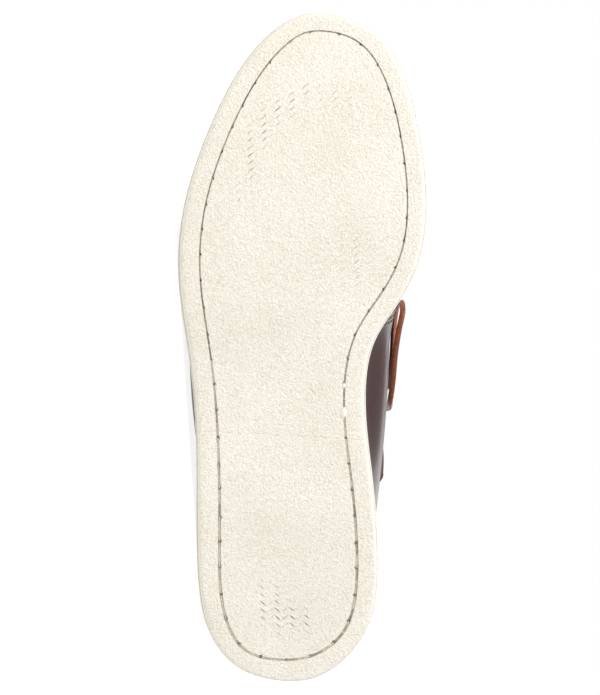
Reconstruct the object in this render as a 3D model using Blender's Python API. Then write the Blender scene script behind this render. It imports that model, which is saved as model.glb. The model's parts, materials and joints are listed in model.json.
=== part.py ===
"""A right boat shoe, lying on its outer side as it does when its sole is shown.

Everything is modelled standing on its sole, in the shoe's own frame: +X to the outer (lateral) side,
+Y to the toe, +Z up, with the heel's back at Y 0 and the tread's flats at Z 0. One empty then lays the
shoe on its outer side. All lengths are in metres.
"""

import math

import bmesh
import bpy
import numpy as np
from mathutils import Matrix, Vector

# Driving dimensions of the sole
LENGTH = 0.296
BALL_WIDTH = 0.106
HEEL_STACK = 0.022
BALL_STACK = 0.0115
TOE_STACK = 0.0105
TOE_SPRING = 0.0080
ARCH_RISE = 0.0015
SOLE_FLARE = 0.0016
TREAD_EDGE = 0.0012
STITCH_MARGIN = 0.0078
STITCH_WIDTH = 0.0014
STITCH_DEPTH = 0.0012
STITCH_SLOPE = 0.1
SIDE_LINE_DEPTH = 0.0006
SIDE_LINE_HEIGHT = 0.0012
SIDE_LINE_LEVEL = 0.56
SIDE_LINE_FLOOR = 0.6

# Where the sole's heights change, as shares of LENGTH
TOE_FLAT_END = 0.68
ARCH_SPAN = (0.25, 0.57)
WEDGE_SPAN = (0.10, 0.64)

# Driving dimensions of the upper
UPPER_HEIGHT = 0.076
WALL = 0.0020
QUARTER_STEP = 0.0011
SEAM_RISE = 0.0022
SEAM_WIDTH = 0.0056
OVERLAY = 0.0012
OVERLAY_GAP = 0.0005
EYESTAY_DEPTH = 0.0150
COUNTER_TOP = 0.0020
INSOLE_THICKNESS = 0.0035
TONGUE_THICKNESS = 0.0024
TONGUE_PROUD = 0.0190
CLEARANCE = 0.0003

# Driving dimensions of the eyelets and the lace
EYELET_RADIUS = 0.0039
EYELET_HOLE = 0.0023
EYELET_BARREL = 0.0028
EYELET_FLANGE = 0.0007
EYELET_EDGE = 0.0075
LACE_WIDTH = 0.0032
LACE_THICKNESS = 0.0024
COLLAR_LACE_DROP = 0.0105
EYELET_LIFT = 0.0006
LACE_CORNER = 0.0007
LACE_SLACK = 0.0007
CORD_DIAMETER = 0.0026
KNOT_HALF_SIZE = np.array([0.0062, 0.0048, 0.0040])

# Where the eyelets stand: walks of the throat's edge, and columns of the collar, rear to front
THROAT_EYELET_WALKS = (0.535, 0.598)
COLLAR_LACE_COLUMNS = ((0.185, 0.262), (0.330, 0.405))
THROAT_BAR_ARCH = 0.95
THROAT_BAR_POINTS = 13
COLLAR_LACE_POINTS = 7
EYELET_SEGMENTS = 12
KNOT_RINGS = 8
KNOT_SIDES = 12

# Where the tongue runs: walks of the throat's edge, the level of the quarter that it reaches under on
# each side, how full its arch is, and its free top: back and up as shares of TONGUE_PROUD, and width
TONGUE_SPAN = (0.540, 0.735)
TONGUE_LEVEL = 2.80
TONGUE_TOP_LEVEL = 2.98
TONGUE_TAPER = (0.550, 0.640)
TONGUE_ARCH = 1.15
TONGUE_GAP = 0.0015
TONGUE_TOP = ((1.00, 0.70, 0.48), (0.90, 0.61, 0.65), (0.62, 0.39, 0.76), (0.30, 0.16, 0.85))
TONGUE_ROWS = 9
TONGUE_POINTS = 11

# The heel counter's reach to each side of the back, as a walk, and its levels
COUNTER_REACH = 0.150
COUNTER_COLUMNS = 13
COUNTER_LEVELS = (0.12, 0.5, 1.0, 1.5, 2.0, 2.5)

# Where the eyestays run, as walks of the throat's edge, and how deep their rounded ends are as a share
EYESTAY_SPAN = (0.490, 0.662)
EYESTAY_INSET = 0.0012
EYESTAY_END = 0.45
EYESTAY_COLUMNS = 13
EYESTAY_ROWS = 4

# How finely the forms are cut into flat faces, and the run of the step at the quarter's front edge
SOLE_COLUMNS = 64
UPPER_COLUMNS = 72
WALL_ROWS_BELOW_SEAM = (0.0, 0.35, 0.7, 1.0, 1.35, 1.65)
SEAM_ROW_SHARES = (-0.5, -0.2, 0.0, 0.2, 0.5)
WALL_ROWS_ABOVE_SEAM = (2.4, 2.7, 3.0)
THROAT_TURN_STEPS = 5
STEP_RUN = 0.002
CORD_SPACING = 0.0056
CURVE_STEPS = 24


class Table:
    """A short table with named columns, whose first column is the key."""

    def __init__(self, columns, *rows):
        self.columns = dict(zip(columns.split(), np.array(rows, float).T))
        self.key = self.columns[columns.split()[0]]

    def ring(self, lateral, medial, at):
        """A smooth closed run through both sides: 0 is the heel's back, 1 the toe, 2 the heel again."""
        keys = np.concatenate([self.key, 2 - self.key[-2:0:-1]])
        values = np.concatenate([self.columns[lateral], self.columns[medial][-2:0:-1]])
        return closed_spline(keys, values, 2.0, at)


# The sole's outline: shares of LENGTH and of BALL_WIDTH, from the heel's back to the toe on each side.
OUTLINE = Table(
    "walk lateral_along lateral_out medial_along medial_out",
    (0.000, 0.000, 0.000, 0.000, 0.000),
    (0.067, 0.014, 0.188, 0.014, -0.160),
    (0.133, 0.060, 0.312, 0.060, -0.289),
    (0.200, 0.128, 0.370, 0.125, -0.348),
    (0.267, 0.215, 0.393, 0.205, -0.345),
    (0.333, 0.315, 0.408, 0.290, -0.316),
    (0.400, 0.405, 0.430, 0.370, -0.278),
    (0.467, 0.485, 0.467, 0.445, -0.258),
    (0.533, 0.555, 0.507, 0.515, -0.285),
    (0.600, 0.625, 0.529, 0.575, -0.376),
    (0.667, 0.705, 0.515, 0.645, -0.457),
    (0.733, 0.785, 0.462, 0.730, -0.472),
    (0.800, 0.865, 0.380, 0.820, -0.434),
    (0.867, 0.932, 0.280, 0.905, -0.368),
    (0.933, 0.980, 0.158, 0.972, -0.250),
    (1.000, 1.000, 0.000, 1.000, 0.000),
)

# The wall of the upper. "in" is how far a level stands inside the sole's outline, in shares of
# BALL_WIDTH, and "rise" its height over the sole's seat, in shares of UPPER_HEIGHT. Feather is where
# the wall meets the sole, bulge its fullest level, and seam the level of the sewn apron seam, which
# runs on behind the throat as a plain level of the quarter.
WALL_LEVELS = Table(
    "walk feather_lat feather_med bulge_rise bulge_lat bulge_med seam_rise seam_lat seam_med",
    (0.000, 0.042, 0.042, 0.300, 0.026, 0.026, 0.530, 0.042, 0.042),
    (0.133, 0.042, 0.040, 0.300, 0.030, 0.028, 0.520, 0.052, 0.048),
    (0.267, 0.036, 0.030, 0.300, 0.022, 0.004, 0.480, 0.050, 0.026),
    (0.333, 0.028, 0.022, 0.330, -0.006, -0.050, 0.500, 0.022, -0.034),
    (0.400, 0.022, 0.016, 0.360, -0.024, -0.098, 0.540, 0.016, -0.080),
    (0.467, 0.024, 0.014, 0.370, -0.010, -0.116, 0.590, 0.048, -0.078),
    (0.533, 0.034, 0.018, 0.340, 0.016, -0.084, 0.620, 0.104, 0.000),
    (0.600, 0.042, 0.034, 0.300, 0.038, -0.010, 0.570, 0.152, 0.084),
    (0.667, 0.046, 0.044, 0.265, 0.052, 0.036, 0.490, 0.172, 0.142),
    (0.733, 0.048, 0.048, 0.235, 0.055, 0.050, 0.420, 0.170, 0.166),
    (0.867, 0.052, 0.052, 0.180, 0.058, 0.058, 0.310, 0.156, 0.160),
    (1.000, 0.054, 0.054, 0.155, 0.060, 0.060, 0.262, 0.150, 0.150),
)

# The upper's top edge: the collar, then the throat's edge, then the ridge over the toes, where both
# sides meet. "along" is a share of LENGTH, "rise" of UPPER_HEIGHT over the seat, and the rest of
# BALL_WIDTH: the ridge's own place, and how far the edge stands to each side of it.
TOP_EDGE = Table(
    "walk along rise ridge lateral_half medial_half",
    (0.000, 0.026, 0.760, 0.000, 0.000, 0.000),
    (0.067, 0.034, 0.752, 0.004, 0.140, -0.132),
    (0.133, 0.066, 0.720, 0.010, 0.234, -0.226),
    (0.200, 0.120, 0.665, 0.014, 0.280, -0.276),
    (0.267, 0.190, 0.620, 0.018, 0.302, -0.298),
    (0.333, 0.268, 0.615, 0.024, 0.318, -0.312),
    (0.400, 0.345, 0.675, 0.030, 0.308, -0.300),
    (0.467, 0.408, 0.810, 0.030, 0.250, -0.244),
    (0.533, 0.460, 0.955, 0.028, 0.190, -0.184),
    (0.600, 0.520, 0.950, 0.022, 0.158, -0.152),
    (0.667, 0.590, 0.855, 0.012, 0.135, -0.130),
    (0.733, 0.660, 0.755, 0.000, 0.110, -0.110),
    (0.800, 0.730, 0.654, -0.008, 0.080, -0.080),
    (0.867, 0.798, 0.549, -0.012, 0.050, -0.050),
    (0.933, 0.862, 0.441, -0.010, 0.022, -0.022),
    (1.000, 0.910, 0.346, -0.006, 0.000, 0.000),
)
THROAT_ROUND_START = 0.615
THROAT_FRONT = 0.690
COLLAR_END = 0.44
CREST_START = 0.56
RIDGE_SLOPE_RUN = 0.12

# Where the quarter's front edge crosses the wall, and how far it leans forward from sole to throat
QUARTER_FRONT = 0.620
QUARTER_LEAN = 0.120
QUARTER_LEAN_LEVEL = 0.5
LEAN_REACH = 0.36

# Levels of a section: whole numbers are feather, bulge, seam and top edge
FEATHER, BULGE, SEAM, TOP = 0.0, 1.0, 2.0, 3.0

# The routes of the lace's free stretches, chosen by hand in the shoe's frame, in metres
FREE_ROUTES = {
    "bow_loop_medial": [
        (-0.0023, 0.1308, 0.1006),
        (-0.0100, 0.1298, 0.1025),
        (-0.0200, 0.1275, 0.1020),
        (-0.0300, 0.1245, 0.0970),
        (-0.0370, 0.1220, 0.0890),
        (-0.0405, 0.1215, 0.0790),
        (-0.0415, 0.1255, 0.0700),
        (-0.0420, 0.1350, 0.0665),
        (-0.0425, 0.1470, 0.0660),
        (-0.0436, 0.1580, 0.0665),
        (-0.0450, 0.1670, 0.0690),
        (-0.0448, 0.1715, 0.0745),
        (-0.0430, 0.1685, 0.0810),
        (-0.0415, 0.1590, 0.0830),
        (-0.0405, 0.1480, 0.0840),
        (-0.0390, 0.1380, 0.0880),
        (-0.0330, 0.1320, 0.0955),
        (-0.0230, 0.1318, 0.1020),
        (-0.0120, 0.1335, 0.1052),
        (-0.0023, 0.1344, 0.1030),
    ],
    "bow_loop_lateral": [
        (0.0109, 0.1308, 0.1006),
        (0.0180, 0.1305, 0.1030),
        (0.0270, 0.1340, 0.1030),
        (0.0345, 0.1420, 0.0980),
        (0.0380, 0.1520, 0.0920),
        (0.0370, 0.1620, 0.0880),
        (0.0320, 0.1685, 0.0880),
        (0.0260, 0.1670, 0.0910),
        (0.0220, 0.1600, 0.0945),
        (0.0200, 0.1510, 0.0985),
        (0.0180, 0.1430, 0.1025),
        (0.0150, 0.1370, 0.1042),
        (0.0109, 0.1344, 0.1030),
    ],
    "lace_end_medial": [
        (0.0015, 0.1379, 0.1003),
        (0.0000, 0.1430, 0.0998),
        (-0.0020, 0.1490, 0.0990),
        (-0.0040, 0.1560, 0.0968),
        (-0.0070, 0.1630, 0.0915),
        (-0.0108, 0.1710, 0.0866),
        (-0.0142, 0.1780, 0.0810),
        (-0.0172, 0.1850, 0.0748),
        (-0.0190, 0.1920, 0.0688),
        (-0.0200, 0.1990, 0.0632),
    ],
    "lace_end_lateral": [
        (0.0072, 0.1379, 0.1003),
        (0.0090, 0.1430, 0.0998),
        (0.0120, 0.1490, 0.0992),
        (0.0155, 0.1560, 0.0968),
        (0.0195, 0.1630, 0.0908),
        (0.0235, 0.1700, 0.0855),
        (0.0270, 0.1770, 0.0788),
        (0.0295, 0.1840, 0.0728),
        (0.0305, 0.1910, 0.0672),
        (0.0308, 0.1980, 0.0625),
    ],
}

# The pieces that hang free, and don't carry the shoe
FREE_PIECES = ("bow_knot", *FREE_ROUTES)


def closed_spline(keys, values, period, at):
    """A twice smooth closed curve through values at keys, read at the places given."""
    count = len(keys)
    steps = np.diff(np.append(keys, keys[0] + period))
    slopes = np.diff(np.append(values, values[0])) / steps
    matrix = np.zeros((count, count))
    right = np.zeros(count)
    for i in range(count):
        before = steps[i - 1]
        matrix[i, i - 1] += before
        matrix[i, i] += 2 * (before + steps[i])
        matrix[i, (i + 1) % count] += steps[i]
        right[i] = 6 * (slopes[i] - slopes[i - 1])
    bend = np.linalg.solve(matrix, right)
    where = np.mod(np.asarray(at, float), period)
    i = np.clip(np.searchsorted(keys, where, side="right") - 1, 0, count - 1)
    j = (i + 1) % count
    step = steps[i]
    ahead = where - keys[i]
    behind = step - ahead
    return (
        (bend[i] * behind**3 + bend[j] * ahead**3) / (6 * step)
        + (values[i] / step - bend[i] * step / 6) * behind
        + (values[j] / step - bend[j] * step / 6) * ahead
    )


def smoothstep(low, high, at):
    share = np.clip((np.asarray(at, float) - low) / (high - low), 0, 1)
    return share * share * (3 - 2 * share)


def tread_height(along):
    """Height of the tread over the floor, at a share of the length."""
    lift = np.clip((along - TOE_FLAT_END) / (1 - TOE_FLAT_END), 0, 1)
    arch = np.clip((along - ARCH_SPAN[0]) / (ARCH_SPAN[1] - ARCH_SPAN[0]), 0, 1)
    return TOE_SPRING * lift**2 + ARCH_RISE * np.sin(np.pi * arch) ** 2


def seat_height(along):
    """Height of the sole's top, which the upper stands on."""
    wedge = smoothstep(*WEDGE_SPAN, along)
    toe = smoothstep(WEDGE_SPAN[1], 1.0, along)
    stack = HEEL_STACK + (BALL_STACK - HEEL_STACK) * wedge + (TOE_STACK - BALL_STACK) * toe
    lift = np.clip((along - TOE_FLAT_END) / (1 - TOE_FLAT_END), 0, 1)
    return stack + TOE_SPRING * lift**2


def outline(walk):
    """The sole's outline at walk, and its outward direction, both in plan."""

    def place(at):
        along = OUTLINE.ring("lateral_along", "medial_along", at) * LENGTH
        out = OUTLINE.ring("lateral_out", "medial_out", at) * BALL_WIDTH
        return np.stack([out, along], axis=-1)

    small = 1e-3
    run = place(walk + small) - place(walk - small)
    run /= np.linalg.norm(run, axis=-1, keepdims=True)
    return place(walk), np.stack([run[..., 1], -run[..., 0]], axis=-1)


def inside_outline(walk, inset, rise):
    """A point inset from the sole's outline, at a height over the seat."""
    edge, outward = outline(walk)
    flat = edge - outward * inset[..., None]
    height = seat_height(flat[..., 1] / LENGTH) + rise
    return np.concatenate([flat, height[..., None]], axis=-1)


def ridge_or_edge(walk):
    """The upper's top edge at walk."""
    side = np.minimum(walk, 2 - walk)
    round_off = np.clip((side - THROAT_ROUND_START) / (THROAT_FRONT - THROAT_ROUND_START), 0, 1)
    half = TOP_EDGE.ring("lateral_half", "medial_half", walk) * np.sqrt(1 - round_off**2)
    along = TOP_EDGE.ring("along", "along", walk)
    x = (TOP_EDGE.ring("ridge", "ridge", walk) + half) * BALL_WIDTH
    z = seat_height(along) + TOP_EDGE.ring("rise", "rise", walk) * UPPER_HEIGHT
    return np.stack([x, along * LENGTH, z], axis=-1)


def ridge_slope(side):
    """How steeply the top edge rises towards the toe at a place on either side."""
    step = ridge_or_edge(side) - ridge_or_edge(side - RIDGE_SLOPE_RUN)
    return np.where(side > COLLAR_END, step[..., 2] / np.maximum(step[..., 1], 1e-4), 0)


def leaned(walk, level):
    """Walk shifted so that a column of the wall leans forward as the quarter's front edge does."""
    side = np.minimum(walk, 2 - walk)
    reach = np.clip(np.abs(side - QUARTER_FRONT) / LEAN_REACH, 0, 1)
    shift = QUARTER_LEAN * (level / TOP - QUARTER_LEAN_LEVEL) * (1 - reach**2) ** 2
    return np.where(walk <= 1, walk + shift, walk - shift)


def section_knots(walk):
    """Feather, bulge, seam and top edge of the section at walk, and a ghost beyond each end."""
    level = WALL_LEVELS.ring
    feather = inside_outline(walk, level("feather_lat", "feather_med", walk) * BALL_WIDTH, CLEARANCE)
    bulge = inside_outline(
        walk,
        level("bulge_lat", "bulge_med", walk) * BALL_WIDTH,
        level("bulge_rise", "bulge_rise", walk) * UPPER_HEIGHT,
    )
    seam = inside_outline(
        walk,
        level("seam_lat", "seam_med", walk) * BALL_WIDTH,
        level("seam_rise", "seam_rise", walk) * UPPER_HEIGHT,
    )
    top = ridge_or_edge(walk)
    below = 2 * feather - bulge
    below[..., :2] = bulge[..., :2]
    side = np.minimum(walk, 2 - walk)
    crest = smoothstep(COLLAR_END, CREST_START, side)[..., None]
    onward = 2 * top - seam
    over = onward.copy()
    over[..., 2] = seam[..., 2] + ridge_slope(side) * (onward[..., 1] - seam[..., 1])
    beyond = onward * (1 - crest) + over * crest
    return [below, feather, bulge, seam, top, beyond]


def along_section(knots, level):
    """The smooth section curve through its knots, read at a level."""
    stacked = np.stack(knots)
    i = np.clip(np.floor(level).astype(int), 0, int(TOP) - 1)
    share = (level - i)[..., None]
    columns = np.arange(stacked.shape[1])
    before, start, end, after = (stacked[i + k, columns] for k in range(4))
    first = np.linalg.norm(start - before, axis=-1, keepdims=True)
    middle = np.linalg.norm(end - start, axis=-1, keepdims=True)
    last = np.linalg.norm(after - end, axis=-1, keepdims=True)
    leave = ((start - before) / first - (end - before) / (first + middle)) * middle + end - start
    arrive = ((after - end) / last - (after - start) / (middle + last)) * middle + end - start
    square, cube = share**2, share**3
    return (
        start * (2 * cube - 3 * square + 1)
        + leave * (cube - 2 * square + share)
        + end * (3 * square - 2 * cube)
        + arrive * (cube - square)
    )


def last_point(column, level):
    """The last's surface at a column and a level."""
    column = np.asarray(column, float)
    level = np.broadcast_to(np.asarray(level, float), column.shape)
    return along_section(section_knots(leaned(column, level)), level)


def level_beside(column, level, distance):
    """The level that lies a distance up the section from a whole level."""
    knots = section_knots(leaned(column, np.full(column.shape, level)))
    near = int(level) + 1
    far = near + (1 if np.all(distance > 0) else -1)
    chord = np.linalg.norm(knots[far] - knots[near], axis=-1)
    return level + distance / chord


def grid_normals(points, faces):
    """Outward directions at the points of a mesh, weighted by its faces' areas."""
    corners = points[faces]
    across = np.cross(corners[:, 2] - corners[:, 0], corners[:, 3] - corners[:, 1])
    normals = np.zeros_like(points)
    for k in range(4):
        np.add.at(normals, faces[:, k], across)
    lengths = np.linalg.norm(normals, axis=1, keepdims=True)
    return normals / np.maximum(lengths, 1e-12)


def last_normal(column, level):
    """The last's outward direction at a column and a level."""
    small = 2e-3
    low = np.maximum(level - small, FEATHER)
    high = np.minimum(level + small, TOP)
    around = last_point(column + small, level) - last_point(column - small, level)
    upward = last_point(column, high) - last_point(column, low)
    normal = np.cross(around, upward)
    return normal / np.linalg.norm(normal, axis=-1, keepdims=True)


def swell(column, level):
    """How far the upper's outside stands over the last: the quarter's step and the apron seam."""
    side = np.minimum(column, 2 - column)
    step = QUARTER_STEP * (side <= QUARTER_FRONT)
    knots = section_knots(leaned(column, level))
    chord = np.linalg.norm(knots[3] - knots[2], axis=-1)
    away = np.abs(level - SEAM) * chord / (SEAM_WIDTH / 2)
    ridge = SEAM_RISE * np.cos(np.clip(away, 0, 1) * np.pi / 2) ** 2 * (side > QUARTER_FRONT)
    return step + ridge


def over_upper(column, level, height):
    """A point at a height over the upper's outside."""
    stand = (swell(column, level) + height)[..., None]
    return last_point(column, level) + last_normal(column, level) * stand


def column_under(top_walk):
    """The column whose top end is at a walk of the top edge, on the lateral side."""
    fine = np.linspace(0, 1, 2001)
    return np.interp(top_walk, leaned(fine, TOP), fine)


def upper_columns():
    """Column places round the shoe: even, but closer round the throat's front and at the quarter's edge."""
    pace = 2 / UPPER_COLUMNS
    behind = np.linspace(0, THROAT_ROUND_START, round(THROAT_ROUND_START / pace))
    turn = np.sin(np.linspace(0, np.pi / 2, THROAT_TURN_STEPS + 1)[1:])
    around = THROAT_ROUND_START + (THROAT_FRONT - THROAT_ROUND_START) * turn
    ahead = np.linspace(THROAT_FRONT, 1, round((1 - THROAT_FRONT) / pace))[1:]
    side = column_under(np.concatenate([behind, around, ahead]))
    nearest = int(np.argmin(np.abs(side - QUARTER_FRONT)))
    side[nearest] = QUARTER_FRONT
    side = np.insert(side, nearest + 1, QUARTER_FRONT + STEP_RUN)
    return np.concatenate([side, 2 - side[-2:0:-1]]), len(side)


def upper_levels(columns):
    """The levels of the wall's rows, with rows that carry the apron seam."""
    below = [np.full(columns.shape, level) for level in WALL_ROWS_BELOW_SEAM]
    seam_rows = [level_beside(columns, SEAM, SEAM_WIDTH * share) for share in SEAM_ROW_SHARES]
    above = [np.full(columns.shape, level) for level in WALL_ROWS_ABOVE_SEAM]
    return below + seam_rows + above


def skin():
    """The upper's mid-net: points on the last, the same with the swell, and the faces between."""
    columns, half = upper_columns()
    levels = upper_levels(columns)
    count = len(columns)
    base = np.stack([last_point(columns, level) for level in levels])
    rise = np.stack([swell(columns, level) for level in levels])
    index = np.arange(base.shape[0] * count).reshape(-1, count)
    top_walk = leaned(columns, TOP)
    meets = np.minimum(top_walk, 2 - top_walk) >= THROAT_FRONT - 1e-6
    for k in range(half, count):
        if meets[k]:
            index[-1, k] = index[-1, count - k]
    faces = []
    for row in range(base.shape[0] - 1):
        for k in range(count):
            after = (k + 1) % count
            faces.append((index[row, k], index[row, after], index[row + 1, after], index[row + 1, k]))
    return base.reshape(-1, 3), rise.reshape(-1), np.array(faces)


def compact(points, faces):
    """Drops the points that no face uses."""
    faces = [tuple(face) for face in faces]
    used = sorted({i for face in faces for i in face})
    place = {old: new for new, old in enumerate(used)}
    return points[used], [tuple(place[i] for i in face) for face in faces]


def new_object(name, points, faces, material, smooth_angle=40):
    """One closed mesh object in the shoe's frame, with its material."""
    points, faces = compact(np.asarray(points, float), faces)
    mesh = bpy.data.meshes.new(name)
    mesh.from_pydata([tuple(p) for p in points], [], faces)
    shape = bmesh.new()
    shape.from_mesh(mesh)
    bmesh.ops.remove_doubles(shape, verts=shape.verts, dist=1e-6)
    bmesh.ops.triangulate(shape, faces=shape.faces)
    bmesh.ops.recalc_face_normals(shape, faces=shape.faces)
    if shape.calc_volume(signed=True) < 0:
        bmesh.ops.reverse_faces(shape, faces=shape.faces)
    shape.to_mesh(mesh)
    shape.free()
    mesh.shade_smooth()
    mesh.set_sharp_from_angle(angle=math.radians(smooth_angle))
    mesh.materials.append(material)
    made = bpy.data.objects.new(name, mesh)
    bpy.context.scene.collection.objects.link(made)
    return made


def shell(outer, inner, faces):
    """A wall between two skins of the same net, closed round their open edges."""
    count = len(outer)
    edges = {}
    for face in faces:
        for a, b in zip(face, np.roll(face, -1)):
            if a != b:
                edges[(int(a), int(b))] = edges.get((int(a), int(b)), 0) + 1
    rim = [(a, b) for a, b in edges if (b, a) not in edges]
    outside = [tuple(int(i) for i in face) for face in faces]
    inside = [tuple(int(i) + count for i in reversed(face)) for face in faces]
    walls = [(b, a, a + count, b + count) for a, b in rim]
    return np.concatenate([outer, inner]), outside + inside + walls


# Materials


def srgb(code):
    """A linear colour from an sRGB hex code."""
    parts = [int(code[i : i + 2], 16) / 255 for i in (0, 2, 4)]
    linear = [c / 12.92 if c <= 0.04045 else ((c + 0.055) / 1.055) ** 2.4 for c in parts]
    return (*linear, 1.0)


def material(name, code, roughness, metallic=0.0):
    made = bpy.data.materials.new(name)
    made.use_nodes = True
    shader = made.node_tree.nodes["Principled BSDF"]
    shader.inputs["Base Color"].default_value = srgb(code)
    shader.inputs["Roughness"].default_value = roughness
    shader.inputs["Metallic"].default_value = metallic
    return made


# The pieces


def sole_ring(columns, inset, height):
    """A closed ring of points inset from the sole's outline."""
    edge, outward = outline(columns)
    flat = edge - outward * inset
    z = height(flat[:, 1] / LENGTH)
    return np.concatenate([flat, z[:, None]], axis=1)


def between_heights(share):
    """A height between tread and seat."""
    return lambda along: tread_height(along) * (1 - share) + seat_height(along) * share


def offset_height(base, rise):
    return lambda along: base(along) + rise


def ring_faces(rings, count):
    """Quads between neighbouring rings, and strips that close the first and the last."""
    faces = []
    for r in range(rings - 1):
        for k in range(count):
            after = (k + 1) % count
            faces.append((r * count + k, r * count + after, (r + 1) * count + after, (r + 1) * count + k))
    for ring in (0, rings - 1):
        start = ring * count
        half = count // 2
        for k in range(half):
            a, b = start + k, start + k + 1
            c, d = start + (count - k - 1), start + (count - k) % count
            faces.append(tuple(dict.fromkeys((a, b, c, d))))
    return faces


def build_outsole(rubber):
    columns = np.linspace(0, 2, SOLE_COLUMNS, endpoint=False)
    line = SIDE_LINE_HEIGHT / (BALL_STACK + SIDE_LINE_HEIGHT)
    middle, floor = SIDE_LINE_LEVEL, line * SIDE_LINE_FLOOR
    inner, outer = STITCH_MARGIN + STITCH_WIDTH, STITCH_MARGIN
    depth = offset_height(tread_height, STITCH_DEPTH)
    rings = [
        (inner, tread_height),
        (inner - STITCH_WIDTH * STITCH_SLOPE, depth),
        (outer + STITCH_WIDTH * STITCH_SLOPE, depth),
        (outer, tread_height),
        (TREAD_EDGE, tread_height),
        (0.0, offset_height(tread_height, TREAD_EDGE)),
        (-SOLE_FLARE * middle, between_heights(middle - line)),
        (-SOLE_FLARE * middle + SIDE_LINE_DEPTH, between_heights(middle - floor)),
        (-SOLE_FLARE * middle + SIDE_LINE_DEPTH, between_heights(middle + floor)),
        (-SOLE_FLARE, between_heights(middle + line)),
        (-SOLE_FLARE, offset_height(seat_height, -TREAD_EDGE)),
        (-SOLE_FLARE + TREAD_EDGE, seat_height),
    ]
    points = np.concatenate([sole_ring(columns, inset, height) for inset, height in rings])
    return new_object("outsole", points, ring_faces(len(rings), SOLE_COLUMNS), rubber)


def build_insole(sock):
    columns = np.linspace(0, 2, SOLE_COLUMNS, endpoint=False)
    feather = WALL_LEVELS.ring("feather_lat", "feather_med", columns) * BALL_WIDTH
    slack = WALL + 5 * CLEARANCE
    edge, outward = outline(columns)
    flat = edge - outward * (feather + slack)[:, None]
    base = seat_height(flat[:, 1] / LENGTH) + CLEARANCE
    low = np.concatenate([flat, base[:, None]], axis=1)
    high = low + np.array([0, 0, INSOLE_THICKNESS])
    points = np.concatenate([low, high])
    return new_object("insole", points, ring_faces(2, SOLE_COLUMNS), sock)


def build_upper(leather):
    base, rise, faces = skin()
    normals = grid_normals(base, faces)
    feather = slice(0, len(upper_columns()[0]))
    normals[feather, 2] = 0
    normals[feather] /= np.linalg.norm(normals[feather], axis=1, keepdims=True)
    outer = base + normals * rise[:, None]
    inner = base - normals * WALL
    points, closed = shell(outer, inner, faces)
    return new_object("upper", points, closed, leather)


def patch(columns, rows_of_levels, low, high):
    """A plate over the upper's outside, with a row of levels for each of its rows, between two heights."""
    levels = np.array([np.broadcast_to(row, columns.shape) for row in rows_of_levels]).T
    places = np.repeat(columns, levels.shape[1])
    outer = over_upper(places, levels.ravel(), high)
    inner = over_upper(places, levels.ravel(), low)
    rows = levels.shape[1]
    faces = [
        (i * rows + j, (i + 1) * rows + j, (i + 1) * rows + j + 1, i * rows + j + 1)
        for i in range(len(columns) - 1)
        for j in range(rows - 1)
    ]
    return shell(outer, inner, np.array(faces))


def build_heel_counter(leather):
    """The back strip, from the sole up to just under the collar."""
    columns = np.linspace(-COUNTER_REACH, COUNTER_REACH, COUNTER_COLUMNS)
    rows = [np.full(columns.shape, level) for level in COUNTER_LEVELS]
    rows += rows_under_edge(columns, (COUNTER_TOP,))
    points, faces = patch(columns, rows, OVERLAY_GAP, OVERLAY_GAP + OVERLAY)
    return new_object("heel_counter", points, faces, leather)


def rows_under_edge(columns, depths):
    """Levels of the wall at depths below its top edge, one row for each depth."""
    return [level_beside(columns, TOP, -np.asarray(depth)) for depth in depths]


def build_eyestay(name, mirrored, leather):
    """The reinforced strip with the eyelets, along one side of the throat."""
    along = -np.cos(np.linspace(0, np.pi, EYESTAY_COLUMNS))
    side = column_under(EYESTAY_SPAN[0] + (EYESTAY_SPAN[1] - EYESTAY_SPAN[0]) * (1 + along) / 2)
    columns = 2 - side[::-1] if mirrored else side
    full = EYESTAY_END + (1 - EYESTAY_END) * np.sqrt(1 - along**4)
    lower = EYESTAY_DEPTH * (full[::-1] if mirrored else full)
    depths = [lower + (EYESTAY_INSET - lower) * share for share in np.linspace(0, 1, EYESTAY_ROWS)]
    points, faces = patch(columns, rows_under_edge(columns, depths), OVERLAY_GAP, OVERLAY_GAP + OVERLAY)
    return new_object(name, points, faces, leather)


def throat_arch(top_walk, level, fullness, count):
    """The last's surface carried on across the throat, from a level of one side to the other's."""
    column = np.array([column_under(top_walk)])
    if top_walk >= THROAT_FRONT:
        over = np.linspace(-1, 1, count)
        columns = np.where(over < 0, column, 2 - column)
        return last_point(columns, TOP - (TOP - level) * np.abs(over))
    sides = []
    above = min(level + 0.1, TOP)
    for walk in (column, 2 - column):
        lean_in = (last_point(walk, above) - last_point(walk, above - 0.1))[0]
        sides.append((last_point(walk, level)[0], lean_in / np.linalg.norm(lean_in)))
    (start, leave), (end, arrive) = sides
    pull = fullness * np.linalg.norm(end - start)
    share = np.linspace(0, 1, count)[:, None]
    square, cube = share**2, share**3
    return (
        start * (2 * cube - 3 * square + 1)
        + leave * pull * (cube - 2 * square + share)
        + end * (3 * square - 2 * cube)
        - arrive * pull * (cube - square)
    )


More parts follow.
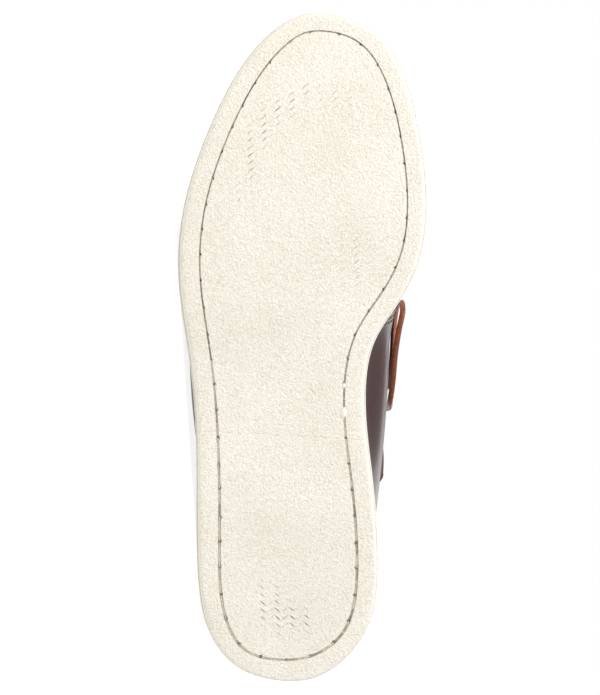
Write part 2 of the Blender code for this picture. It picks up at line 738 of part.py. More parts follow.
def build_tongue(leather):
    """The tongue: under the quarters beside the throat, under the apron ahead, and free at its top."""
    walks = np.linspace(*TONGUE_SPAN, TONGUE_ROWS)
    levels = TONGUE_TOP_LEVEL + (TONGUE_LEVEL - TONGUE_TOP_LEVEL) * smoothstep(*TONGUE_TAPER, walks)
    rows = [throat_arch(walk, level, TONGUE_ARCH, TONGUE_POINTS) for walk, level in zip(walks, levels)]
    first, crown = rows[0], rows[0][TONGUE_POINTS // 2]
    tops = [
        crown + (first - crown) * width + np.array([0, -back, up]) * TONGUE_PROUD
        for back, up, width in TONGUE_TOP
    ]
    net = np.array(tops + rows)
    count = net.shape[1]
    base = net.reshape(-1, 3)
    faces = np.array([
        (r * count + k, r * count + k + 1, (r + 1) * count + k + 1, (r + 1) * count + k)
        for r in range(len(net) - 1)
        for k in range(count - 1)
    ])
    normals = grid_normals(base, faces)
    if normals[:, 2].mean() < 0:
        normals, faces = -normals, faces[:, ::-1]
    top = WALL + TONGUE_GAP
    points, closed = shell(base - normals * top, base - normals * (top + TONGUE_THICKNESS), faces)
    return new_object("tongue", points, closed, leather)


def eyelet_places():
    """Each eyelet's name, its middle on the leather that it is set in, and its outward direction."""
    places = []
    for row, top_walk in zip(("rear", "front"), THROAT_EYELET_WALKS):
        for side in ("lateral", "medial"):
            column = column_under(np.array([top_walk]))
            column = 2 - column if side == "medial" else column
            level = level_beside(column, TOP, -EYELET_EDGE)
            seat = over_upper(column, level, OVERLAY_GAP + OVERLAY)[0]
            places.append((f"eyelet_{row}_{side}", seat, last_normal(column, level)[0], OVERLAY_GAP + OVERLAY))
    for row, columns in zip(("collar_rear", "collar_front"), COLLAR_LACE_COLUMNS):
        for end, column in zip("ab", columns):
            for side in ("lateral", "medial"):
                at = np.array([2 - column if side == "medial" else column])
                level = level_beside(at, TOP, -COLLAR_LACE_DROP)
                seat = over_upper(at, level, 0.0)[0]
                places.append((f"eyelet_{row}_{end}_{side}", seat, last_normal(at, level)[0], 0.0))
    return places


def turned(name, profile, place, direction, finish, segments=EYELET_SEGMENTS):
    """A closed profile of radius and height, turned round a direction at a place."""
    turn = Vector(direction).to_track_quat("Z", "Y").to_matrix()
    points = []
    for k in range(segments):
        angle = 2 * math.pi * k / segments
        for radius, height in profile:
            points.append(turn @ Vector((radius * math.cos(angle), radius * math.sin(angle), height)))
    rows = len(profile)
    faces = [
        (
            k * rows + j,
            (k + 1) % segments * rows + j,
            (k + 1) % segments * rows + (j + 1) % rows,
            k * rows + (j + 1) % rows,
        )
        for k in range(segments)
        for j in range(rows)
    ]
    return new_object(name, np.array(points) + place, faces, finish)


def build_eyelets(metal):
    """One rolled eyelet at each place: a barrel through the leather and a flange over it."""
    for name, seat, direction, packed in eyelet_places():
        base = EYELET_LIFT
        profile = [
            (EYELET_HOLE, -packed - WALL),
            (EYELET_BARREL, -packed - WALL),
            (EYELET_BARREL, base),
            (EYELET_RADIUS, base),
            (EYELET_RADIUS - EYELET_FLANGE / 2, base + EYELET_FLANGE),
            (EYELET_HOLE + EYELET_FLANGE / 4, base + EYELET_FLANGE),
        ]
        turned(name, profile, seat, direction, metal)


def punch_holes(leathers):
    """Cuts the eyelets' holes through the leathers with one hidden cutter."""
    parts = []
    for _, seat, direction, _ in eyelet_places():
        turn = Vector(direction).to_track_quat("Z", "Y").to_matrix().to_4x4()
        shape = bmesh.new()
        bmesh.ops.create_cone(
            shape,
            cap_ends=True,
            segments=EYELET_SEGMENTS,
            radius1=EYELET_BARREL + CLEARANCE,
            radius2=EYELET_BARREL + CLEARANCE,
            depth=4 * (WALL + OVERLAY),
            matrix=Matrix.Translation(seat) @ turn,
        )
        parts.append(shape)
    mesh = bpy.data.meshes.new("eyelet_holes")
    whole = bmesh.new()
    for shape in parts:
        shape.to_mesh(mesh)
        shape.free()
        whole.from_mesh(mesh)
    whole.to_mesh(mesh)
    whole.free()
    cutter = bpy.data.objects.new("eyelet_holes", mesh)
    bpy.context.scene.collection.objects.link(cutter)
    cutter.hide_render = True
    cutter.display_type = "WIRE"
    for leather in leathers:
        cut = leather.modifiers.new("eyelet holes", "BOOLEAN")
        cut.operation = "DIFFERENCE"
        cut.solver = "EXACT"
        cut.object = cutter


def strap(name, centres, normals, finish):
    """A flat lace along its centres, lying with its broad side to the normals."""
    ahead = np.gradient(centres, axis=0)
    ahead /= np.linalg.norm(ahead, axis=1, keepdims=True)
    across = np.cross(ahead, normals)
    across /= np.linalg.norm(across, axis=1, keepdims=True)
    upright = np.cross(across, ahead)
    wide, thick = LACE_WIDTH / 2, LACE_THICKNESS / 2
    corner = LACE_CORNER
    section = [
        (wide, thick - corner),
        (wide - corner, thick),
        (corner - wide, thick),
        (-wide, thick - corner),
        (-wide, corner - thick),
        (corner - wide, -thick),
        (wide - corner, -thick),
        (wide, corner - thick),
    ]
    lines = np.array([centres + across * a + upright * b for a, b in section])
    points = lines.transpose(1, 0, 2).reshape(-1, 3)
    sides = len(section)
    faces = [
        (r * sides + k, r * sides + (k + 1) % sides, (r + 1) * sides + (k + 1) % sides, (r + 1) * sides + k)
        for r in range(len(centres) - 1)
        for k in range(sides)
    ]
    faces += [tuple(range(sides)), tuple(len(points) - sides + k for k in range(sides))]
    return new_object(name, points, faces, finish)


def lace_height():
    """How high a lace's middle stands over the last where it crosses an eyelet of the throat."""
    over_leather = QUARTER_STEP + OVERLAY_GAP + OVERLAY
    return over_leather + EYELET_LIFT + EYELET_FLANGE + LACE_SLACK + LACE_THICKNESS / 2


def throat_bar(top_walk):
    """Middle line and outward directions of a lace's bar from eyelet to eyelet over the throat."""
    column = column_under(np.array([top_walk]))
    level = float(level_beside(column, TOP, -EYELET_EDGE)[0])
    arch = throat_arch(top_walk, level, THROAT_BAR_ARCH, THROAT_BAR_POINTS)
    share = np.linspace(0, 1, THROAT_BAR_POINTS)[:, None]
    normals = last_normal(column, level) * (1 - share) + last_normal(2 - column, level) * share
    ahead = np.gradient(arch, axis=0)
    ahead /= np.linalg.norm(ahead, axis=1, keepdims=True)
    normals -= ahead * np.sum(normals * ahead, axis=1, keepdims=True)
    normals /= np.linalg.norm(normals, axis=1, keepdims=True)
    return arch + normals * lace_height(), normals


def build_throat_laces(lace):
    """The two bars of the lace over the tongue."""
    for row, top_walk in zip(("rear", "front"), THROAT_EYELET_WALKS):
        centres, normals = throat_bar(top_walk)
        strap(f"throat_lace_{row}", centres, normals, lace)


def build_collar_laces(lace):
    """The runs of the lace that show under the collar, from eyelet to eyelet."""
    stand = EYELET_LIFT + EYELET_FLANGE + CLEARANCE + LACE_THICKNESS / 2
    for row, (first, last) in zip(("rear", "front"), COLLAR_LACE_COLUMNS):
        for side in ("lateral", "medial"):
            columns = np.linspace(first, last, COLLAR_LACE_POINTS)
            columns = 2 - columns if side == "medial" else columns
            levels = level_beside(columns, TOP, -COLLAR_LACE_DROP)
            centres = over_upper(columns, levels, stand)
            strap(f"collar_lace_{row}_{side}", centres, last_normal(columns, levels), lace)


def smooth_route(route, spacing):
    """Evenly spaced points of the smooth curve through a route's own points."""
    route = np.array(route, float)
    ghosts = np.concatenate([[2 * route[0] - route[1]], route, [2 * route[-1] - route[-2]]])
    fine = []
    for a, b, c, d in zip(ghosts, ghosts[1:], ghosts[2:], ghosts[3:]):
        square, cube = 2 * a - 5 * b + 4 * c - d, 3 * b - a - 3 * c + d
        for t in np.linspace(0, 1, CURVE_STEPS, endpoint=False):
            fine.append((2 * b + (c - a) * t + square * t**2 + cube * t**3) / 2)
    fine = np.array(fine + [route[-1]])
    walked = np.concatenate([[0], np.cumsum(np.linalg.norm(np.diff(fine, axis=0), axis=1))])
    count = max(round(walked[-1] / spacing), 2)
    at = np.linspace(0, walked[-1], count + 1)
    return np.stack([np.interp(at, walked, fine[:, axis]) for axis in range(3)], axis=1)


def build_cord(name, route, lace):
    """A free stretch of the lace, as a round tube along its route."""
    line = bpy.data.curves.new(name, "CURVE")
    line.dimensions = "3D"
    line.bevel_depth = CORD_DIAMETER / 2
    line.bevel_resolution = 2
    line.use_fill_caps = True
    points = smooth_route(route, CORD_SPACING)
    spline = line.splines.new("POLY")
    spline.points.add(len(points) - 1)
    for target, point in zip(spline.points, points):
        target.co = (*point, 1)
    line.materials.append(lace)
    made = bpy.data.objects.new(name, line)
    bpy.context.scene.collection.objects.link(made)
    return made


def build_knot(lace):
    """The bow's knot, a wrapped lump over the middle of the rear bar."""
    centres, _ = throat_bar(THROAT_EYELET_WALKS[0])
    middle = centres[len(centres) // 2]
    centre = middle + np.array([0, 0, LACE_THICKNESS / 2 + CLEARANCE + KNOT_HALF_SIZE[2]])
    points = []
    for r in range(KNOT_RINGS + 1):
        tilt = math.pi * r / KNOT_RINGS
        for k in range(KNOT_SIDES):
            turn = 2 * math.pi * k / KNOT_SIDES
            shape = (math.sin(tilt) * math.cos(turn), math.sin(tilt) * math.sin(turn), math.cos(tilt))
            points.append(centre + np.array(shape) * KNOT_HALF_SIZE)
    faces = [
        (r * KNOT_SIDES + k, r * KNOT_SIDES + (k + 1) % KNOT_SIDES,
         (r + 1) * KNOT_SIDES + (k + 1) % KNOT_SIDES, (r + 1) * KNOT_SIDES + k)
        for r in range(KNOT_RINGS)
        for k in range(KNOT_SIDES)
    ]
    return new_object("bow_knot", points, faces, lace)


def shape_points(objects):
    """The corners of the objects' meshes, in the shoe's frame."""
    return np.concatenate([[tuple(v.co) for v in made.data.vertices] for made in objects])


def balance_point(objects):
    """The middle of the objects' solid volume."""
    weight, moment = 0.0, np.zeros(3)
    for made in objects:
        corners = np.array([tuple(v.co) for v in made.data.vertices])
        triangles = corners[[tuple(face.vertices) for face in made.data.polygons]]
        volumes = np.einsum("ij,ij->i", triangles[:, 0], np.cross(triangles[:, 1], triangles[:, 2])) / 6
        weight += volumes.sum()
        moment += (triangles.sum(axis=1) / 4 * volumes[:, None]).sum(axis=0)
    return moment / weight


def resting_face(objects):
    """The flat of the hull, on the outer side, that the shoe lies still on: its outward direction."""
    hull = bmesh.new()
    for corner in shape_points(objects):
        hull.verts.new(corner)
    bmesh.ops.convex_hull(hull, input=hull.verts)
    centre = Vector(balance_point(objects))
    best = None
    for face in hull.faces:
        normal = face.normal
        corners = [v.co for v in face.verts]
        if normal.dot(corners[0] - centre) < 0:
            normal = -normal
        foot = centre + normal * normal.dot(corners[0] - centre)
        turns = [(b - a).cross(foot - a).dot(normal) for a, b in zip(corners, corners[1:] + corners[:1])]
        held = min(turns) >= 0 or max(turns) <= 0
        if held and (best is None or normal.x > best.x):
            best = normal.copy()
    hull.free()
    return best


def lay_down():
    """Lays every piece on the shoe's outer side, toe to -X, with the middle of its box over the origin."""
    pieces = [made for made in bpy.data.objects if made.type in {"MESH", "CURVE"}]
    solids = [made for made in pieces if made.name not in FREE_PIECES and not made.hide_render]
    down = resting_face(solids)
    toe = Vector((0, 1, 0))
    toe = (toe - down * toe.dot(down)).normalized()
    turn = Matrix((-toe, down.cross(toe), -down))
    laid = shape_points(solids) @ np.array(turn).T
    low, high = laid.min(axis=0), laid.max(axis=0)
    shift = Vector((-(low[0] + high[0]) / 2, -(low[1] + high[1]) / 2, -low[2]))
    holder = bpy.data.objects.new("laid_down", None)
    bpy.context.scene.collection.objects.link(holder)
    holder.matrix_world = Matrix.Translation(shift) @ turn.to_4x4()
    for made in pieces:
        made.parent = holder


def clear_scene():
    for old in list(bpy.data.objects):
        bpy.data.objects.remove(old)


def build():
    clear_scene()
    leather = material("oxblood leather", "4A3536", 0.38)
    rubber = material("cream rubber", "F3EDDC", 0.62)
    sock = material("tan sock leather", "A87850", 0.60)
    lace = material("rust lace leather", "7A3B22", 0.45)
    metal = material("aged brass", "7A6440", 0.35, metallic=1.0)
    build_outsole(rubber)
    build_insole(sock)
    upper = build_upper(leather)
    build_tongue(leather)
    build_heel_counter(leather)
    eyestays = [
        build_eyestay("eyestay_lateral", False, leather),
        build_eyestay("eyestay_medial", True, leather),
    ]
    punch_holes([upper, *eyestays])
    build_eyelets(metal)
    build_throat_laces(lace)
    build_collar_laces(lace)
    build_knot(lace)
    for name, route in FREE_ROUTES.items():
        build_cord(name, route, lace)
    lay_down()


build()
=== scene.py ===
# %% [markdown]
# # A boat shoe that lies so that its sole shows
# This lesson dresses a right boat shoe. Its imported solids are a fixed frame: they say where
# each piece is and how big it is. Every surface that shows is made again here, finer, over the
# same form. The camera looks straight at the tread, as a shop does when it shows the sole of a
# shoe.

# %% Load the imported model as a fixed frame
import json
import math

import bmesh
import bpy
import numpy as np
from mathutils import Matrix, Vector


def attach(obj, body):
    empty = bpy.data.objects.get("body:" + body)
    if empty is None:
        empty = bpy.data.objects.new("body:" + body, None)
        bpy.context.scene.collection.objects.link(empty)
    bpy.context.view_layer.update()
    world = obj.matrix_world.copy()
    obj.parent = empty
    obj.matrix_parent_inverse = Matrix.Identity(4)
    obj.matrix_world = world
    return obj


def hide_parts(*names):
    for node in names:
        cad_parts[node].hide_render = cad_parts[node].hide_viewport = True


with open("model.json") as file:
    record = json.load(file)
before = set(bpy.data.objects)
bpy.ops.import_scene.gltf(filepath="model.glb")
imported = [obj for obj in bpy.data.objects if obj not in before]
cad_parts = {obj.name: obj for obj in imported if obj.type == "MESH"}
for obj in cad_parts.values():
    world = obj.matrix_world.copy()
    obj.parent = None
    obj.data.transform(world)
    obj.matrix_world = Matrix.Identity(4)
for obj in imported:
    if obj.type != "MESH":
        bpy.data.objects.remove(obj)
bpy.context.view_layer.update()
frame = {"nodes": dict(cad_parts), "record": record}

print("CAD nodes:", len(frame["nodes"]))

# %% [markdown]
# ## The shoe's own frame
# A shoemaker measures from the heel's back along the last. It is far easier to model the shoe
# as it stands, with X to its outer side, Y to the toe and Z up, than as it lies. The two flats
# of the tread are mounts in the record, and their places give the turn from one frame to the
# other.

# %% From the standing shoe to the lying one
HEEL_MOUNT_ALONG = 0.040
mounts = {mount["name"]: mount for mount in frame["record"]["mounts"]}
heel_mount = np.array(mounts["heel_tread"]["pos_m"])
toeward = np.array(mounts["forefoot_tread"]["pos_m"]) - heel_mount
toeward /= np.linalg.norm(toeward)
upward = -np.array(mounts["heel_tread"]["axis"])
TURN = np.stack([np.cross(toeward, upward), toeward, upward], axis=1)
HEEL_BACK = heel_mount - toeward * HEEL_MOUNT_ALONG


def laid(points):
    """Points of the standing shoe, where they are on the shoe as it lies."""
    return np.asarray(points, float) @ TURN.T + HEEL_BACK


def laid_direction(direction):
    return np.asarray(direction, float) @ TURN.T


print("the sole faces", laid_direction((0, 0, -1)).round(3), "and the toe points", toeward.round(3))

# %% [markdown]
# ## The camera
# The photograph looks square on to the sole with a long lens, the shoe tilted three degrees and
# its toe up. So the camera lies on its side here, because the shoe does. Its distance is a
# guess: a long one, because the sidewall hardly shows. The lens then follows from the size of a
# pixel at the sole.

# %% The camera, square on to the sole
PHOTO_TILT = math.radians(3.04)
PHOTO_SIZE = (600, 695)
PHOTO_PIXEL = 0.0004418
SHOE_MIDDLE_PIXEL = (303.0, 347.0)
SHOE_MIDDLE = np.array([0.0, 0.148, 0.0])
CAMERA_DISTANCE = 1.25
SENSOR = 36.0

image_right = np.array([-math.cos(PHOTO_TILT), math.sin(PHOTO_TILT), 0.0])
image_up = np.array([math.sin(PHOTO_TILT), math.cos(PHOTO_TILT), 0.0])
off_right = (PHOTO_SIZE[0] / 2 - SHOE_MIDDLE_PIXEL[0]) * PHOTO_PIXEL
off_up = (SHOE_MIDDLE_PIXEL[1] - PHOTO_SIZE[1] / 2) * PHOTO_PIXEL
aim = SHOE_MIDDLE + image_right * off_right + image_up * off_up
lens = bpy.data.cameras.new("camera")
camera = bpy.data.objects.new("camera", lens)
bpy.context.scene.collection.objects.link(camera)
bpy.context.scene.camera = camera
lens.sensor_width = SENSOR
lens.lens = SENSOR * CAMERA_DISTANCE / (PHOTO_SIZE[1] * PHOTO_PIXEL)
axes = [laid_direction(v) for v in (image_right, image_up, (0, 0, -1))]
stand = laid(aim - np.array([0, 0, CAMERA_DISTANCE]))
pose = Matrix(np.stack(axes, axis=1).tolist()).to_4x4()
camera.matrix_world = Matrix.Translation(stand) @ pose
print("lens", round(lens.lens, 1), "mm, camera at", [round(v, 3) for v in camera.location])

# %% [markdown]
# ## Helpers that every piece uses
# A piece is one mesh: points, faces and a finish for each face. Points that coincide are
# welded, so a net may run together at a toe or a point. Materials are trees of nodes. One small
# function adds a node with its settings, links and colour stops, so each finish reads from top
# to bottom as its own tree.

# %% A piece from points and faces
def tidy_net(points, faces):
    """Welds equal points: the kept points' numbers, the faces, and the kept faces' numbers."""
    _, first, same = np.unique(np.round(points, 7), axis=0, return_index=True, return_inverse=True)
    same = same.reshape(-1).tolist()
    welded, kept = [], []
    for number, face in enumerate(faces):
        corners = tuple(dict.fromkeys(same[i] for i in face))
        if len(corners) > 2:
            welded.append(corners)
            kept.append(number)
    return first, welded, kept


def in_scene(name, data):
    made = bpy.data.objects.new(name, data)
    bpy.context.scene.collection.objects.link(made)
    return made


def new_piece(name, points, faces, finishes, finish_of=None, marks=None, sharp=40.0):
    """One mesh piece in place on the lying shoe, from points of the standing one."""
    points = np.asarray(points, float)
    first, welded, kept = tidy_net(points, faces)
    mesh = bpy.data.meshes.new(name)
    mesh.from_pydata(laid(points[first]).tolist(), [], welded)
    if finish_of is not None:
        mesh.polygons.foreach_set("material_index", np.asarray(finish_of, np.int32)[kept])
    for mark, values in (marks or {}).items():
        layer = mesh.attributes.new(mark, "FLOAT", "POINT")
        layer.data.foreach_set("value", np.asarray(values, np.float32)[first])
    shape = bmesh.new()
    shape.from_mesh(mesh)
    bmesh.ops.recalc_face_normals(shape, faces=shape.faces)
    shape.to_mesh(mesh)
    shape.free()
    for finish in finishes:
        mesh.materials.append(finish)
    mesh.shade_smooth()
    mesh.set_sharp_from_angle(angle=math.radians(sharp))
    return in_scene(name, mesh)


def set_in_place(piece, slot, *nodes):
    """The piece rides on the shoe's one body, and stands for the plain solids that it covers."""
    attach(piece, "root")
    if nodes:
        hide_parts(*nodes)
    print(piece.name, len(piece.data.polygons), "faces")
    return piece


# %% A colour, a node, and a finish
# A Mix node's sockets go by number: 0 is the share, 6 and 7 are the colours, and 2 is the result.
COLOUR_MIX = {"data_type": "RGBA"}
COLOUR_MULTIPLY = {"data_type": "RGBA", "blend_type": "MULTIPLY"}
MM = 0.001


def linear(code):
    """A linear colour from an sRGB hex code."""
    parts = [int(code[i : i + 2], 16) / 255 for i in (0, 2, 4)]
    return (*(c / 12.92 if c <= 0.04045 else ((c + 0.055) / 1.055) ** 2.4 for c in parts), 1.0)


def sized(place, size_mm, **sockets):
    """A texture's sockets, for features about this many millimetres across."""
    return {"Vector": place, "Scale": 1000.0 / size_mm, **sockets}


def wire(tree, node, sockets):
    """Gives each socket its source: another node's output, or else a plain value."""
    for name, source in sockets.items():
        if isinstance(source, bpy.types.NodeSocket):
            tree.links.new(source, node.inputs[name])
        else:
            node.inputs[name].default_value = source


def add_node(tree, kind, output, sockets=None, stops=(), **settings):
    """Adds a shader node with its settings, sockets and colour stops, and gives back one output."""
    made = tree.nodes.new("ShaderNode" + kind)
    for name, value in settings.items():
        setattr(made, name, value)
    wire(tree, made, sockets or {})
    marks = made.color_ramp.elements if stops else []
    while len(marks) < len(stops):
        marks.new(0.5)
    for mark, (place, code) in zip(marks, stops):
        mark.position = place
        mark.color = linear(code)
    return made.outputs[output]


def new_finish(name, sockets):
    """A material with its shader's plain values, and the place where a pattern is read."""
    finish = bpy.data.materials.new(name)
    finish.use_nodes = True
    tree = finish.node_tree
    shader = tree.nodes["Principled BSDF"]
    wire(tree, shader, sockets)
    return finish, tree, shader, add_node(tree, "TexCoord", "Object")


bpy.context.scene.view_settings.view_transform = "Standard"
print("helpers ready, view transform Standard")

# %% [markdown]
# ## Rust rawhide lace
# The lace of a boat shoe is a flat thong cut from oiled hide, about 2.6 mm wide. Its grain face
# is a waxy rust brown, its cut edges soak up more oil and go nearly black, and it has fine
# fibres along its length. A mark on the mesh says how near a point is to a cut edge, because
# the edge is a place on the thong and not a direction in the room.

# %% Oiled rawhide: a satin dielectric, rust on its face and dark on its cut edges
def make_lace_finish():
    finish, tree, shader, place = new_finish(
        "oiled rust rawhide", {"Roughness": 0.46, "Coat Weight": 0.15, "Coat Roughness": 0.35}
    )
    fibres = add_node(tree, "TexNoise", "Fac", sized(place, 0.9, Detail=4.0, Roughness=0.65))
    tones = ((0.30, "5E2510"), (0.50, "80401B"), (0.72, "99582A"))
    face = add_node(tree, "ValToRGB", "Color", {"Fac": fibres}, tones)
    # the edge mark is the cut edges' own dark tone, and painted shade on the knot's core
    edge = add_node(tree, "Attribute", "Fac", attribute_name="cut_edge_and_core_shade")
    colour = add_node(tree, "Mix", 2, {0: edge, 6: face, 7: linear("3A0F08")}, **COLOUR_MIX)
    relief = add_node(tree, "Bump", "Normal", {"Height": fibres, "Distance": 0.12 * MM})
    wire(tree, shader, {"Base Color": colour, "Normal": relief})
    return finish


lace_hide = make_lace_finish()
print("finish:", lace_hide.name)

# %% [markdown]
# ## The bow's loops and ends
# The lace leaves the knot in two loops and two ends. Only the loop on the inner side shows in
# the photograph, beside the sole. A free lace is limp: it springs from the knot, falls over the
# side and lies on the leather. A simulation could drop it there, but the photograph fixes where
# the loop lies. So its route is a list of given points, and a smooth curve runs
# through them. The thong's section is then carried along the curve.

# %% Routes of the free lace, in the standing shoe's metres
LACE_ROUTES = {
    "bow_loop_medial": [
        (-0.0023, 0.1308, 0.1006), (-0.0100, 0.1298, 0.1025), (-0.0200, 0.1275, 0.1020),
        (-0.0300, 0.1245, 0.0970), (-0.0376, 0.1220, 0.0890), (-0.0416, 0.1215, 0.0790),
        (-0.0420, 0.1250, 0.0700), (-0.0427, 0.1350, 0.0665), (-0.0431, 0.1470, 0.0660),
        (-0.0442, 0.1580, 0.0665), (-0.0456, 0.1670, 0.0690), (-0.0448, 0.1715, 0.0745),
        (-0.0430, 0.1685, 0.0810), (-0.0423, 0.1590, 0.0830), (-0.0421, 0.1480, 0.0840),
        (-0.0416, 0.1380, 0.0865), (-0.0392, 0.1300, 0.0915), (-0.0230, 0.1318, 0.1020),
        (-0.0120, 0.1335, 0.1052), (-0.0023, 0.1344, 0.1030),
    ],
    "bow_loop_lateral": [
        (0.0109, 0.1308, 0.1006), (0.0180, 0.1305, 0.1030), (0.0270, 0.1340, 0.1030),
        (0.0345, 0.1420, 0.0980), (0.0380, 0.1520, 0.0920), (0.0370, 0.1620, 0.0880),
        (0.0320, 0.1685, 0.0880), (0.0260, 0.1670, 0.0910), (0.0220, 0.1600, 0.0945),
        (0.0200, 0.1510, 0.0985), (0.0180, 0.1430, 0.1025), (0.0150, 0.1370, 0.1042),
        (0.0109, 0.1344, 0.1030),
    ],
    "lace_end_medial": [
        (0.0015, 0.1379, 0.1003), (0.0000, 0.1430, 0.0998), (-0.0020, 0.1490, 0.0990),
        (-0.0040, 0.1560, 0.0968), (-0.0070, 0.1630, 0.0915), (-0.0108, 0.1710, 0.0866),
        (-0.0142, 0.1780, 0.0810), (-0.0172, 0.1850, 0.0748), (-0.0190, 0.1920, 0.0688),
        (-0.0200, 0.1990, 0.0632),
    ],
    "lace_end_lateral": [
        (0.0072, 0.1379, 0.1003), (0.0090, 0.1430, 0.0998), (0.0120, 0.1490, 0.0992),
        (0.0155, 0.1560, 0.0968), (0.0195, 0.1630, 0.0908), (0.0235, 0.1700, 0.0855),
        (0.0270, 0.1770, 0.0788), (0.0295, 0.1840, 0.0728), (0.0305, 0.1910, 0.0672),
        (0.0308, 0.1980, 0.0625),
    ],
}
THONG_WIDTH = 0.0026
THONG_THICKNESS = 0.0019
CURVE_STEPS = 24


def smooth_route(route, spacing):
    """Evenly spaced points of the smooth curve through a route's own points."""
    route = np.array(route, float)
    ghosts = np.concatenate([[2 * route[0] - route[1]], route, [2 * route[-1] - route[-2]]])
    fine = []
    for a, b, c, d in zip(ghosts, ghosts[1:], ghosts[2:], ghosts[3:]):
        square, cube = 2 * a - 5 * b + 4 * c - d, 3 * b - a - 3 * c + d
        for t in np.linspace(0, 1, CURVE_STEPS, endpoint=False):
            fine.append((2 * b + (c - a) * t + square * t**2 + cube * t**3) / 2)
    return even_points(np.array(fine + [route[-1]]), spacing)


def walked_along(line):
    """How far along the line each of its points is."""
    return np.concatenate([[0], np.cumsum(np.linalg.norm(np.diff(line, axis=0), axis=1))])


def read_along(line, walked, at):
    """The points, or directions, of a line at distances along it."""
    return np.stack([np.interp(at, walked, line[:, axis]) for axis in range(3)], axis=1)


def even_points(line, spacing):
    """The same line, with its points evenly spaced."""
    walked = walked_along(line)
    count = max(round(walked[-1] / spacing), 2) + 1
    return read_along(line, walked, np.linspace(0, walked[-1], count))


def unit(vectors):
    return vectors / np.maximum(np.linalg.norm(vectors, axis=-1, keepdims=True), 1e-12)


def carried(line, first):
    """A direction square to the line, carried along it without twisting."""
    ahead = unit(np.gradient(line, axis=0))
    now = np.asarray(first, float)
    found = []
    for direction in ahead:
        now = unit(now - direction * (now @ direction))
        found.append(now)
    return np.array(found)


# %% The thong: a flat section with soft corners, swept along a line
def thong_section(width, thickness, corner=0.32, steps=3):
    """Points (across, up) round a rounded rectangle, and a mark that is 1 on its cut edges."""
    radius = corner * thickness
    turns = np.linspace(0, np.pi / 2, steps + 1)
    points, marks = [], []
    for k, (side, rise) in enumerate(((1, 1), (-1, 1), (-1, -1), (1, -1))):
        middle = np.array([side * (width / 2 - radius), rise * (thickness / 2 - radius)])
        for turn in turns + k * np.pi / 2:
            points.append(middle + radius * np.array([math.cos(turn), math.sin(turn)]))
            marks.append(abs(math.cos(turn)))
    return np.array(points), np.array(marks)


def sweep(line, normals, section, marks):
    """A solid along a line: its points, its faces with both ends closed, and its edge marks."""
    ahead = unit(np.gradient(line, axis=0))
    across = unit(np.cross(ahead, normals))
    rise = np.cross(across, ahead)
    wide, high = section[:, 0][None, :, None], section[:, 1][None, :, None]
    net = line[:, None] + across[:, None] * wide + rise[:, None] * high
    sides = len(section)
    faces = [
        (row + k, row + (k + 1) % sides, row + sides + (k + 1) % sides, row + sides + k)
        for row in range(0, (len(line) - 1) * sides, sides)
        for k in range(sides)
    ]
    last = (len(line) - 1) * sides
    faces += [tuple(range(sides)), tuple(last + k for k in range(sides))]
    return net.reshape(-1, 3), faces, np.tile(marks, len(line))


def joined(parts):
    """Several (points, faces, marks) parts as one."""
    points, faces, marks, start = [], [], [], 0
    for part_points, part_faces, part_marks in parts:
        points.append(part_points)
        marks.append(part_marks)
        faces += [tuple(i + start for i in face) for face in part_faces]
        start += len(part_points)
    return np.concatenate(points), faces, np.concatenate(marks)


THONG = thong_section(THONG_WIDTH, THONG_THICKNESS)
THONG_SPACING = 0.0011
THONG_TWISTS = {
    "bow_loop_medial": ((0, 0), (0.20, 0), (0.32, 90), (0.56, 90), (0.66, 60), (0.80, 0), (1, 0)),
    "bow_loop_lateral": ((0, 0), (1, 0)),
    "lace_end_medial": ((0, 0), (0.6, 0), (1, 25)),
    "lace_end_lateral": ((0, 0), (0.5, 0), (1, -30)),
}


def twisted(line, normals, turns):
    """The carried directions, turned about the line by angles at shares of its length."""
    shares, degrees = np.array(turns, float).T
    angle = np.radians(np.interp(np.linspace(0, 1, len(line)), shares, degrees))[:, None]
    ahead = unit(np.gradient(line, axis=0))
    return normals * np.cos(angle) + np.cross(ahead, normals) * np.sin(angle)


for name, route in LACE_ROUTES.items():
    line = smooth_route(route, THONG_SPACING)
    normals = twisted(line, carried(line, (0, 0, 1)), THONG_TWISTS[name])
    points, faces, marks = sweep(line, normals, *THONG)
    marks = {"cut_edge_and_core_shade": marks}
    stretch = new_piece("thong_" + name, points, faces, [lace_hide], marks=marks, sharp=70)
    set_in_place(stretch, "lace_leather", name)

# %% [markdown]
# ## The last: one form under every piece
# A shoe is made round a last. Sole, upper, tongue and trims all take their shape from it, so it
# comes first. It could be sculpted, but a table can be read and corrected one number at a time.
# So it is three short tables: the sole's outline, the levels of the wall, and the top edge. A
# smooth closed curve runs through each column. The walk goes from the heel's back (0) along the
# outer side to the toe (1), and back along the inner side (2). Inner-side numbers at the waist
# are the fine ones, because it shows.

# %% Sizes of the last and of the sole
LENGTH = 0.296
BALL_WIDTH = 0.106
UPPER_HEIGHT = 0.076
HEEL_STACK = 0.022
BALL_STACK = 0.0115
TOE_STACK = 0.0105
TOE_SPRING = 0.0080
ARCH_RISE = 0.0015
TOE_FLAT_END = 0.68
ARCH_SPAN = (0.25, 0.57)
WEDGE_SPAN = (0.10, 0.64)
WALL = 0.0020
CLEARANCE = 0.0003


class Table:
    """A short table with named columns, whose first column is the key."""

    def __init__(self, columns, *rows):
        self.columns = dict(zip(columns.split(), np.array(rows, float).T))
        self.key = self.columns[columns.split()[0]]

    def rows(self):
        return zip(*self.columns.values())

    def ring(self, lateral, medial, at):
        """A smooth closed run through both sides."""
        keys = np.concatenate([self.key, 2 - self.key[-2:0:-1]])
        values = np.concatenate([self.columns[lateral], self.columns[medial][-2:0:-1]])
        return closed_spline(keys, values, 2.0, at)


